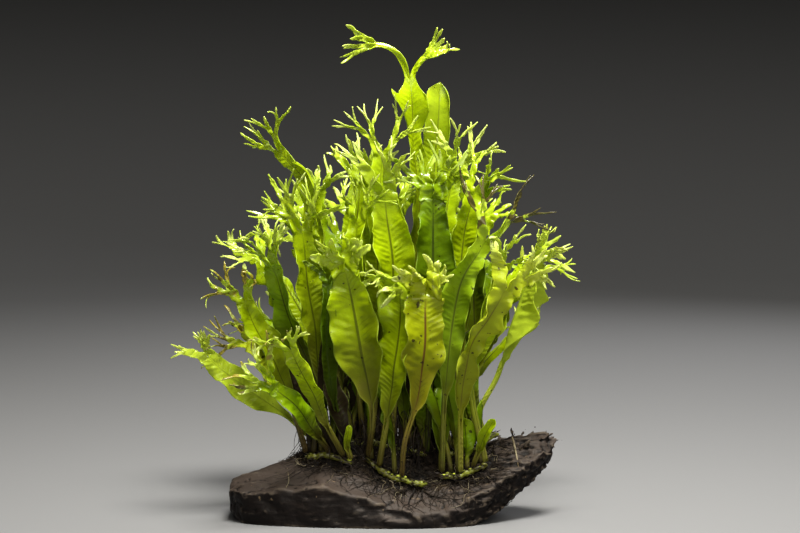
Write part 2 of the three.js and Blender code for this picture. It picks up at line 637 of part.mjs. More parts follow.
const fronds = growFronds();
const frondRooms = fronds.map(({ room }) => room);
Object.entries(ROOT_MATS).forEach(([name, mat], i) => {
  addPiece(name, rootMat(mat, i + 1, frondRooms), MATERIALS.roots);
});

for (const { name, kind, solid } of fronds) addPiece(name, solid, MATERIALS[kind + "_frond"]);

export default plant;
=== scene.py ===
import math

import bpy
import numpy as np
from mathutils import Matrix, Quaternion, Vector, noise
from mathutils.bvhtree import BVHTree


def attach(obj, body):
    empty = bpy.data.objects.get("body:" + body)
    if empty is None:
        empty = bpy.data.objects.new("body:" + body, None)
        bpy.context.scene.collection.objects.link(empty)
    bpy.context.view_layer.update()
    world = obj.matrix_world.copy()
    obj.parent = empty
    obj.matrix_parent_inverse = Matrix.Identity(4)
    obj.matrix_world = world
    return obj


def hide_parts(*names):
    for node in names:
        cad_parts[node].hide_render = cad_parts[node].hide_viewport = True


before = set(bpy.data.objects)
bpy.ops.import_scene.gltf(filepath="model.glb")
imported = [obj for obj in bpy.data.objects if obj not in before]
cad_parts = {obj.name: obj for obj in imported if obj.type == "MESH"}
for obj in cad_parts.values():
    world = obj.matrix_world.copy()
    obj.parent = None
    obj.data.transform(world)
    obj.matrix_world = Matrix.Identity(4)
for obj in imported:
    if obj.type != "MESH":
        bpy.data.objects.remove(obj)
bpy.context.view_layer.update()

# A crested java fern growing on dark driftwood. Metres, +Z up, -Y towards the viewer.
MM = 0.001
UP = Vector((0, 0, 1))
# Waves start at a phase from 0 to this.
NEARLY_A_TURN = 6.28
# Rays that look down for the driftwood's solid and for the finished log start at these heights.
ABOVE_SOLID = 100 * MM
ABOVE_LOG = 60 * MM
CENTRE = Vector((4 * MM, 0, 100.6 * MM))
VIEW_DISTANCE = 0.9
VIEW_HEIGHT = math.radians(5)
LENS = 101.25

# Plant dimensions, the same as the solids'
CLEARANCE = 0.3 * MM
RHIZOME_RADIUS = 1.7 * MM
STALK_WIDTH = 2.2 * MM
STALK_SHARE = 0.4
ARM_STEPS = 8
ARM_LENGTHS = [0.36, 0.27, 0.2, 0.17]
OPENING_STEPS = 3
FORK_SHARES = [1, 0.9, 0.85, 0.5]
ARM_SETBACK = 0.2
ARM_SPREAD = 36
ARM_BEND = 46
ARM_ROLL = 50
ARM_PARTING = [14, 6, 0, 0]
NECK = 0.5
SHOULDER = 0.5
WAIST_PINCH = 0.7
WAIST_REACH = 0.09
# Below its solid's blade a leaf has a narrow foot: where it starts, as a share of the stalk, and its width,
# as a share of the blade's. It ends in the blade, at a share of that.
FOOT = (0.5, 0.4)
FOOT_END = 0.14
BLADE_OPENING = 0.42

FACE_TURNS = [0, 14, -14, 28, -28, 42, -42]
NOD_TURNS = [0, 30, -30, 60]
SAME_TURN = 0.05 * MM

RHIZOMES = {
    "rhizome_front": [[-10, -8], [-4, -12], [3, -16.5], [15, -18]],
    "rhizome_left": [[-34, -7], [-25, -9], [-15, -12]],
    "rhizome_right": [[19, -13], [28, -14.5], [39, -12]],
    "rhizome_ridge": [[-31, 2], [-14, 1], [1, 0], [15, -3]],
    "rhizome_far": [[20, -3.5], [31, -2.5], [44, 1]],
    "rhizome_back": [[-27, 12], [-8, 11.5], [10, 11], [30, 10]],
}
RHIZOME_STEPS = 12


def chance(seed):
    """A steady pseudo-random share from 0 to 1."""
    s = math.sin(seed * 127.1 + 311.7) * 43758.5453
    return s - math.floor(s)


def smooth(low, high, x):
    t = min(1, max(0, (x - low) / (high - low)))
    return t * t * (3 - 2 * t)


def lerp(a, b, t):
    return a + (b - a) * t


def between(low, high, seed):
    """A steady pseudo-random number from low to high."""
    return lerp(low, high, chance(seed))


def rough(x, y, z):
    """Smooth noise from about -1 to 1."""
    return noise.noise(Vector((x, y, z)))


def level_way(turn):
    return Vector((math.cos(turn), math.sin(turn), 0))


def ring(turn, radius):
    """How far a place on a circle is to the side and up."""
    return math.cos(turn) * radius, math.sin(turn) * radius


# Curves through points, as the solids' are


def curve_point(points, t):
    count = len(points) - 1
    place = min(t * count, count - 1e-9)
    i = int(place)
    w = place - i
    before = points[i - 1] if i else 2 * points[0] - points[1]
    after = points[i + 2] if i + 2 <= count else 2 * points[-1] - points[-2]
    start, end = points[i], points[i + 1]
    leave = (end - before) / 2
    arrive = (after - start) / 2
    bend = 3 * (end - start) - 2 * leave - arrive
    twist = 2 * (start - end) + leave + arrive
    return start + leave * w + bend * w * w + twist * w**3


def spaced_points(points, shares, samples=200):
    """Points at shares of a curve's length."""
    fine = [curve_point(points, i / samples) for i in range(samples + 1)]
    steps = [0.0]
    for a, b in zip(fine, fine[1:]):
        steps.append(steps[-1] + (b - a).length)
    along = np.interp([s * steps[-1] for s in shares], steps, np.linspace(0, 1, samples + 1))
    return [curve_point(points, t) for t in along], steps[-1]


wood_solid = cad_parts["driftwood"]
wood_tree = BVHTree.FromPolygons(
    [v.co for v in wood_solid.data.vertices], [p.vertices for p in wood_solid.data.polygons]
)


def wood_top(x, y, reach=0):
    """The wood's height under a point, or the highest within reach of it."""
    highest = 0
    for dx, dy in ((0, 0), (reach, 0), (-reach, 0), (0, reach), (0, -reach)):
        hit = wood_tree.ray_cast(Vector((x + dx, y + dy, ABOVE_SOLID)), -UP)[0]
        if hit:
            highest = max(highest, hit.z)
    return highest


def rhizome_curve(points):
    lift = RHIZOME_RADIUS + 2 * CLEARANCE
    flat = [Vector((x * MM, y * MM, 0)) for x, y in points]
    raised = [curve_point(flat, i / RHIZOME_STEPS) for i in range(RHIZOME_STEPS + 1)]
    for p in raised:
        p.z = wood_top(p.x, p.y, RHIZOME_RADIUS) + lift
    return raised


rhizome_lines = {name: rhizome_curve(points) for name, points in RHIZOMES.items()}


def root_point(rhizome, share):
    line = rhizome_lines[rhizome]
    place = share * (len(line) - 1)
    i = min(len(line) - 2, int(place))
    return line[i].lerp(line[i + 1], place - i) + UP * (RHIZOME_RADIUS + CLEARANCE)


# Fronds: rhizome and share along it, then the points that the spine passes. The words after them are the
# same as in the solids: width, stalk, neck, waist, crest, spread, nod, face, arms and kind. first_arms gives
# the first two arms' spread, how much longer each is, and their setback.
FRONDS = [
    ("rhizome_front", 0.72, [[6, -24, 34], [11, -28, 52], [13, -30, 70], [14, -29, 91]],
     dict(width=17, stalk=0.52, neck=0.85, crest=15, spread=40, nod=60, kind="yellow")),
    ("rhizome_front", 0.32, [[0, -22, 49], [3, -25, 69], [4, -25, 92]],
     dict(width=16, neck=0.7, crest=22, spread=45, nod=85)),
    ("rhizome_front", 0.08, [[-7, -20, 45], [-11, -26, 70], [-17, -29, 101]],
     dict(width=20, crest=18, face=-8, nod=20)),
    ("rhizome_ridge", 0.66, [[2, -7, 62], [1, -11, 98], [-2, -14, 130]],
     dict(width=18, crest=26, nod=25)),
    ("rhizome_ridge", 1, [[16, -10, 58], [17, -13, 95], [17, -15, 128]],
     dict(width=18, crest=24, nod=20, kind="deep")),
    ("rhizome_left", 0.2, [[-29, -10, 50], [-36, -15, 74], [-42, -17, 90], [-46, -18, 102]],
     dict(width=18, crest=22, face=-20, nod=10, kind="deep")),
    ("rhizome_left", 0.38, [[-28, -15, 58], [-31, -21, 90], [-34, -24, 116]],
     dict(width=14, crest=22, face=-8, nod=5)),
    ("rhizome_left", 0.54, [[-30, -23, 38], [-37, -28, 48], [-45, -32, 56]],
     dict(width=10, crest=21, face=25, nod=-20, kind="deep")),
    ("rhizome_left", 0.82, [[-25, -24, 41], [-31, -30, 57], [-38, -34, 71]],
     dict(width=9, stalk=0.5, crest=14, face=-10, nod=30)),
    ("rhizome_ridge", 0, [[-42, -2, 41], [-53, -5, 49], [-64, -8, 58], [-72, -9, 65]],
     dict(width=12, stalk=0.3, crest=13, face=38, nod=20)),
    ("rhizome_back", 0, [[-37, 10, 50], [-48, 8, 63], [-57, 5, 69]],
     dict(width=12, crest=19, face=30, nod=30, kind="yellow")),
    ("rhizome_ridge", 0.23, [[-23, -18, 55], [-25, -22, 76], [-24, -24, 96]],
     dict(width=11, crest=14, nod=-30, kind="deep")),
    ("rhizome_ridge", 0.3, [[-20, -4, 60], [-26, -7, 90], [-32, -10, 112]],
     dict(width=17, crest=24, face=-15)),
    ("rhizome_right", 0.1, [[22, -21, 56], [27, -26, 94], [37, -29, 113]],
     dict(width=14, crest=25, face=12, kind="deep")),
    ("rhizome_right", 0.5, [[28, -23, 50], [31, -29, 70], [38, -33, 82], [44, -35, 94]],
     dict(width=13, waist=0.4, neck=0.7, crest=20, face=10, nod=30, kind="yellow")),
    ("rhizome_right", 0.95, [[32, -16, 54], [35, -20, 80], [44, -23, 102]],
     dict(width=14, crest=22, face=18, nod=20)),
    ("rhizome_far", 0.78, [[36, -5, 43], [43, -8, 58], [48, -10, 76], [52, -11, 92], [58, -12, 104]],
     dict(width=15, stalk=0.43, crest=14, face=28, nod=10)),
    ("rhizome_far", 0.36, [[27, -4, 78], [29, -5, 110], [33, -6, 130]],
     dict(width=12, crest=20, face=15)),
    ("rhizome_far", 0.08, [[21, 1, 85], [22, 2, 118], [26, 2, 139]],
     dict(width=11, crest=21, face=12)),
    ("rhizome_ridge", 0.84, [[10, 2, 75], [11, 4, 125], [8, 4, 176]],
     dict(width=15, waist=0.72, shoulder=0.9, neck=0.22, crest=33, arms=[0.6, 0.15, 0.13, 0.12], spread=24,
          first_arms=[(20, 1.4, -2.2), (38, 0.62, -0.5)])),
    ("rhizome_back", 0.72, [[17, 12, 85], [18, 12, 135], [20, 10, 174]],
     dict(width=13, crest=0, face=10)),
    ("rhizome_ridge", 0.48, [[-4, -1, 75], [-5, -2, 112], [-3, -3, 145]],
     dict(width=13, crest=22)),
    ("rhizome_ridge", 0.16, [[-26, 4, 74], [-30, 5, 110], [-34, 5, 134], [-44, 4, 146]],
     dict(width=9, crest=19, face=-15)),
    ("rhizome_back", 0.36, [[-11, 8, 75], [-13, 8, 109], [-12, 7, 133]],
     dict(width=14, crest=21, face=-6)),
    ("rhizome_far", 0.57, [[34, 4, 72], [33, 6, 102], [33, 6, 124]],
     dict(width=14, crest=20, face=12, kind="deep")),
    ("rhizome_left", 0.02, [[-41, -10, 52], [-51, -14, 73], [-57, -16, 88]],
     dict(width=12, crest=16, face=8, nod=10)),
    ("rhizome_ridge", 0.4, [[-13, -5, 58], [-14, -9, 94], [-13, -12, 120]],
     dict(width=15, crest=22, face=-4, nod=10)),
    ("rhizome_left", 0.68, [[-27, -16, 42], [-27, -17, 62], [-24, -18, 80]],
     dict(width=2.8, crest=0, kind="old")),
    ("rhizome_left", 0.97, [[-17, -14, 30], [-17, -15, 34], [-16, -15, 39]],
     dict(width=2.6, crest=0)),
    ("rhizome_right", 0.74, [[36, -20, 32], [38, -24, 38], [41, -26, 43]],
     dict(width=4.5, crest=0)),
]

# The far side: count, first and last share of the rhizome, lean, height, fan and blade width of each rank.
BACK_RANKS = [
    (7, 0.1, 0.94, 10, 97, 27, 15),
    (7, 0.04, 0.98, 22, 84, 28, 15),
    (5, 0.18, 0.86, 31, 52, 30, 13),
]
BACK_CREST = 22
BACK_NOD = 10
BACK_KINDS = ["fresh", "deep", "fresh"]
OUTER_LOSS = 0.22
OUTER_TURN = 45
BACK_SPINE = [[0.36, 0.18], [0.72, 0.52], [1, 1]]


def frond_spec(number, rhizome, share, through, words):
    """All that is known of a frond, in metres. Its own form comes after the solid's words."""
    spec = dict(
        stalk=STALK_SHARE, neck=NECK, shoulder=SHOULDER, waist=None, spread=ARM_SPREAD, nod=0, face=0,
        arms=ARM_LENGTHS, first_arms=None, kind="fresh",
    )
    spec.update(words)
    spec.update(OWN_FORMS.get(number, {}))
    spec["width"] *= MM
    spec["crest"] *= MM
    root = root_point(rhizome, share)
    return dict(spec, number=number, root=root, through=[Vector(p) * MM for p in through])


def back_rows():
    rows = []
    for rank, (count, first, last, lean, height, fan, width) in enumerate(BACK_RANKS):
        for k in range(count):
            across = 2 * k / (count - 1) - 1
            seed = rank * 20 + k
            share = lerp(first, last, k / (count - 1))
            root = root_point("rhizome_back", share) / MM
            tall = height * (1 - OUTER_LOSS * across**2) * between(0.9, 1.1, seed + 500)
            back = lean * between(0.85, 1.15, seed + 600)
            through = [
                [root.x + across * fan * reach, root.y + back * reach, root.z + tall * rise]
                for rise, reach in BACK_SPINE
            ]
            rows.append(("rhizome_back", share, through, dict(
                width=width * between(0.85, 1.15, seed + 700), crest=BACK_CREST, nod=BACK_NOD,
                face=180 - across * OUTER_TURN, kind=BACK_KINDS[seed % 3],
            )))
    return rows


class Heading:
    """A place with its heading, the side to its right and the way that its upper face looks."""

    def __init__(self, place, along, side, facing):
        self.place, self.along, self.side, self.facing = place, along, side, facing

    def turned(self, yaw, pitch, roll):
        c, s = math.cos(yaw), math.sin(yaw)
        along = self.along * c + self.side * s
        side = self.side * c - self.along * s
        c, s = math.cos(pitch), math.sin(pitch)
        along, facing = along * c + self.facing * s, self.facing * c - along * s
        c, s = math.cos(roll), math.sin(roll)
        side, facing = side * c + facing * s, facing * c - side * s
        return Heading(self.place, along, side, facing)

    def point(self, across, up=0.0, ahead=0.0):
        return self.place + self.side * across + self.facing * up + self.along * ahead


def spine_headings(spec, shares):
    places, length = spaced_points([spec["root"]] + spec["through"], shares)
    face = math.radians(spec["face"])
    looks = Vector((math.sin(face), -math.cos(face), 0))
    side = None
    headings = []
    for i, place in enumerate(places):
        along = (places[min(len(places) - 1, i + 1)] - places[max(0, i - 1)]).normalized()
        side = side - along * side.dot(along) if side else along.cross(looks)
        side = side.normalized()
        headings.append(Heading(place, along, side, side.cross(along)))
    return headings, length


def blade_foot(share, spec):
    """0 in the round stalk, 1 where the leaf has opened, and between them along its narrow foot."""
    stalk = spec["stalk"]
    return smooth(stalk * spec.get("foot", FOOT)[0], lerp(stalk, 1, FOOT_END), share)


def blade_width(share, spec):
    t = (share - spec["stalk"]) / (1 - spec["stalk"])
    pinch = 1
    if spec["waist"]:
        pinch -= WAIST_PINCH * math.exp(-(((t - spec["waist"]) / WAIST_REACH) ** 2))
    foot = spec.get("foot", FOOT)[1] * blade_foot(share, spec)
    opened = 1 - (1 - smooth(0, BLADE_OPENING, t)) * (1 - foot)
    swell = opened * (1 - (1 - spec["neck"]) * smooth(spec["shoulder"], 1, t)) * pinch
    return STALK_WIDTH + (spec["width"] - STALK_WIDTH) * swell


def arm_headings(start, level, side, spec, arm, curl=0.0, steps=ARM_STEPS, share=None, twist=1.0):
    """The headings along one arm of a crest, from a fork to where it forks again."""
    seed = spec["number"] * 64 + arm

    def jitter(n):
        return chance(seed + n * 0.37) - 0.5

    nod_share = ARM_LENGTHS[min(level, 3)]
    reach = spec["arms"][min(level, 3)] if share is None else share
    spread, longer, setback = spec["spread"], 1, ARM_SETBACK
    if level == 0 and side and spec["first_arms"]:
        spread, longer, setback = spec["first_arms"][(side + 1) // 2]
    yaw = side * math.radians(spread) * FORK_SHARES[level] * (1 + 0.6 * jitter(1))
    pitch = math.radians(spec["nod"] * nod_share + ARM_BEND * jitter(2) + side * ARM_PARTING[level] + curl)
    roll = math.radians(ARM_ROLL * jitter(3) * twist)
    length = spec["crest"] * reach * longer * (1 + 0.6 * jitter(4))
    opening = min(OPENING_STEPS, steps - 1)
    now = start
    headings = []
    for i in range(steps):
        swing = yaw / opening if i < opening else -setback * yaw / (steps - opening)
        now = now.turned(swing, pitch / steps, roll / steps)
        now = Heading(now.place + now.along * (length / steps), now.along, now.side, now.facing)
        headings.append(now)
    return headings


# Which way each solid turned to keep clear of its neighbours


def solid_tips(spec):
    """Where the eight points of a frond's solid crest are."""
    start = spine_headings(spec, [i / 48 for i in range(49)])[0][-1]
    ends = [(start, 1)]
    for level in range(3):
        forks = [(now, side, arm * 2 + (side + 1) // 2) for now, arm in ends for side in (-1, 1)]
        ends = [(arm_headings(now, level, side, spec, arm)[-1], arm) for now, side, arm in forks]
    return [now.point(0, 0, spec["crest"] * spec["arms"][3]) for now, _ in ends]


def turned_as_solid(spec):
    """The spec with the turns that bring its crest closest to its solid's."""
    corners = np.array([v.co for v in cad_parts[frond_name(spec)].data.vertices])
    best = None
    for face in FACE_TURNS:
        for nod in NOD_TURNS:
            tried = dict(spec, face=spec["face"] + face, nod=spec["nod"] + nod)
            misses = [np.linalg.norm(corners - np.array(tip), axis=1).min() for tip in solid_tips(tried)]
            miss = np.median(misses)
            if best is None or miss < best[0]:
                best = (miss, tried)
            if miss < SAME_TURN:
                return tried
    return best[1]


def frond_name(spec):
    return "frond_%02d" % spec["number"]


# Meshes


def deselect_all():
    bpy.ops.object.select_all(action="DESELECT")


def make_active(obj):
    deselect_all()
    obj.select_set(True)
    bpy.context.view_layer.objects.active = obj


def add_object(name, data):
    obj = bpy.data.objects.new(name, data)
    bpy.context.scene.collection.objects.link(obj)
    return obj


def named(obj, name):
    obj.name = name
    obj.data.name = name
    return obj


def settled():
    """The piece just added, with its place, turn and size in its mesh."""
    bpy.ops.object.transform_apply(location=True, rotation=True, scale=True)
    return bpy.context.object


def add_grid(name, columns, rows):
    """A flat grid, with the column and the row of each of its points."""
    deselect_all()
    bpy.ops.mesh.primitive_grid_add(x_subdivisions=columns, y_subdivisions=rows, size=1)
    sheet = named(bpy.context.object, name)
    across, up, _ = (read(sheet.data.vertices, "co") + 0.5).T
    return sheet, np.rint(across * columns).astype(int), np.rint(up * rows).astype(int)


def apply_modifiers(obj):
    make_active(obj)
    for modifier in list(obj.modifiers):
        bpy.ops.object.modifier_apply(modifier=modifier.name)


def merge_doubles(threshold, outward=False):
    """Merges the points of the active piece that meet, and turns its faces outwards if asked."""
    bpy.ops.object.mode_set(mode="EDIT")
    bpy.ops.mesh.select_all(action="SELECT")
    bpy.ops.mesh.remove_doubles(threshold=threshold)
    if outward:
        bpy.ops.mesh.normals_make_consistent(inside=False)
    bpy.ops.object.mode_set(mode="OBJECT")


def shade_smooth(obj):
    obj.data.polygons.foreach_set("use_smooth", [True] * len(obj.data.polygons))


def join(pieces, name):
    deselect_all()
    for piece in pieces:
        piece.select_set(True)
    bpy.context.view_layer.objects.active = pieces[0]
    bpy.ops.object.join()
    return named(pieces[0], name)


def read(items, key, kind=float, width=3):
    """A mesh's numbers as an array with a row for each of the items."""
    numbers = np.empty(len(items) * width, kind)
    items.foreach_get(key, numbers)
    return numbers.reshape(-1, width)


def reshape(mesh, places):
    mesh.vertices.foreach_set("co", places.ravel())
    mesh.update()


def mark(mesh, trait, values):
    """Gives each point of a mesh a number that its finish reads."""
    mesh.attributes.new(trait, "FLOAT", "POINT").data.foreach_set("value", values)


def paint(piece, tone):
    """Gives a piece a tone from 0, dark, to 1, bright."""
    mark(piece.data, "tone", np.full(len(piece.data.vertices), tone))


# The grid that a leaf is shaped from: columns across it, and rows up its stalk and its blade
FROND_GRID = (32, 18, 70)
YOUNG_GRID = (10, 5, 20)
LEVEL_ROWS = [ARM_STEPS, ARM_STEPS, ARM_STEPS, 8]
# The last fork, into the fingers at the tip, is past the solids' forks.
FINGER_LEVEL = 3
# How much the arms of each level curl, in degrees, and how much more than their solid's they roll
CURLS = [0, 14, 50, 105]
TWISTS = [1, 1.1, 1.9, 2.8]
CURLINESS = (0.25, 1.2)
FINGER_SHARES = (0.9, 2.0)
FINGER_TAPER = 0.66
UNFORKED_SHARES = [0, 0.06, 0.12, 0.3]
ARM_WIDTH_SHARES = [0.5, 0.33, 0.19, 0.085]
LEAST_ARM_WIDTHS = [2.8 * MM, 2.0 * MM, 1.35 * MM, 0.75 * MM]
ARM_WAVES = [1.0 * MM, 0.7 * MM, 0.4 * MM, 0.15 * MM]
ARM_BODIES = [0.46, 0.44, 0.42, 0.4]
# How much wider than usual a frond's arms may be, and how hollow and how frilled each arm may be
STRAPS = (0.78, 1.35)
CHANNELS = (-0.4, 1.1)
FRILLS = (0, 0.35)

# What sets one blade apart from another: its stalk's girth, its cup, its lean to one side, its fold along
# the midrib, its twist and its ruffles
GIRTHS = (0.72, 0.95)
CUPS = (0.15, 0.8)
LEAN = 0.16
FOLD = 0.75
BLADE_TWIST = math.radians(46)
RUFFLES = (1.6 * MM, 3.8 * MM)
RUFFLED_WIDTH = 14 * MM
# The stalk is a sheet rolled up by this angle to either side.
ROLLED_UP = 3.05
# Waves along a blade, each by its height and its length: of the margin's outline as a share of the half
# blade, of its teeth, of its ruffles and slower ruffles as a share of the ruffle, and of the whole blade
OUTLINE_WAVES = [(0.07, 4.6 * MM), (0.04, 1.7 * MM)]
TEETH = (0.16, 0.95 * MM)
RUFFLE_LENGTH = 2.1 * MM
RUFFLE_PACES = {-1: 0.92, 1: 1.05}
SLOW_RUFFLE = (0.6, 4.7 * MM)
BLADE_WAVE = (1.0 * MM, 8 * MM)
# Cross ridges between the side veins, and dents
CRINKLE = 0.12
RIDGE_LENGTH = 0.62 * MM
RIDGE_CHANGE = 5.3 * MM
DENT = 0.38 * MM
DENT_SPAN = (3.2 * MM, 2.1 * MM)
MIDRIB_REACH = 0.09
# A hem folds over by these shares of what it takes from the blade's width.
HEM_IN = 1.35
HEM_UP = 0.8
# How far below and above its middle an ear fades, as shares of the blade
EAR_FADES = (0.06, 0.015)
# Side lobes of single fronds: the side, the share of the blade where they point out, and their reach.
EARS = {
    20: (-1, 0.9, 0.55), 13: (-1, 0.9, 0.45), 4: (1, 0.92, 0.4), 23: (1, 0.88, 0.6), 2: (-1, 0.95, 0.6),
}
# Single fronds' own forms. fan widens the last arms, hem folds a margin over, blunt is where the end rounds,
# the brightness entry is how bright the frond is, wilt is how much of its crest is dead, and crinkle is the
# height of its cross ridges. twist is how far the blade turns on its spine. A frond's brightness is a random
# tone where it isn't given; where given here it is painted light, raised on fronds that stand in the shadow
# of the crests above and lowered on fronds that the lamp lights strongly or that stand in a dark part of the
# plant.
OWN_FORMS = {
    3: dict(strap=1.5),
    5: dict(tone_and_painted_light=-0.3),
    6: dict(twist=0.5, width=13),
    7: dict(tone_and_painted_light=-0.15, twist=-0.5),
    8: dict(wilt=0.45),
    9: dict(wilt=0.25),
    10: dict(tone_and_painted_light=1.5, foot=(0.5, 0.1)),
    11: dict(wilt=0.57, fingers=1.5, tone_and_painted_light=1.2),
    12: dict(tone_and_painted_light=-0.6, width=7),
    13: dict(tone_and_painted_light=-0.15, twist=0),
    14: dict(wilt=0.7, tone_and_painted_light=1.12, twist=0.4, width=12),
    15: dict(tone_and_painted_light=1.2),
    16: dict(tone_and_painted_light=1.1, width=9, foot=(0.9, 0)),
    17: dict(tone_and_painted_light=1.6, wilt=0.2, width=18, foot=(0.95, 0.05), crinkle=0.3),
    19: dict(twist=0),
    20: dict(width=11.5, fan=1.9, fingers=0.85, strap=0.75),
    21: dict(neck=0.95, blunt=0.92, hem=0.6, tone_and_painted_light=1.15),
    25: dict(foot=(0.9, 0)),
    26: dict(wilt=0.5),
    27: dict(width=12, twist=0),
    31: dict(twist=0),
    33: dict(width=12),
    34: dict(twist=0, width=9),
    35: dict(width=12),
    37: dict(width=8, foot=(0.9, 0)),
    38: dict(twist=0),
    40: dict(twist=0),
    41: dict(twist=0),
    43: dict(twist=0),
    44: dict(width=8, foot=(0.9, 0)),
    49: dict(width=4, foot=(0.9, 0)),
}


def frond_sheet(name, columns, rows, slits):
    """A flat grid with a slit up each of the given columns from the given row to the top."""
    sheet, column, row = add_grid(name, columns, rows)
    mesh = sheet.data
    a, b = read(mesh.edges, "vertices", int, 2).T
    first = np.full(columns + 1, rows)
    for c, r in slits.items():
        first[c] = r
    cut = (column[a] == column[b]) & (np.minimum(row[a], row[b]) >= first[column[a]])
    if cut.any():
        mesh.polygons.foreach_set("select", np.zeros(len(mesh.polygons), bool))
        mesh.vertices.foreach_set("select", np.zeros(len(mesh.vertices), bool))
        mesh.edges.foreach_set("select", cut)
        bpy.ops.object.mode_set(mode="EDIT")
        bpy.ops.mesh.select_mode(type="EDGE")
        bpy.ops.mesh.edge_split(type="EDGE")
        bpy.ops.object.mode_set(mode="OBJECT")
    return sheet


def sheet_places(sheet, columns, rows):
    """Each vertex's row and column, and the side of it that its faces lie on."""
    mesh = sheet.data
    co = read(mesh.vertices, "co")
    column = np.rint((co[:, 0] + 0.5) * columns).astype(int)
    row = np.rint((co[:, 1] + 0.5) * rows).astype(int)
    lean = np.zeros(len(co))
    quads = read(mesh.loops, "vertex_index", int, 1).reshape(-1, 4)
    middle = co[quads][:, :, 0].mean(axis=1)
    for k in range(4):
        np.add.at(lean, quads[:, k], np.sign(middle - co[quads[:, k], 0]))
    return row, column, lean


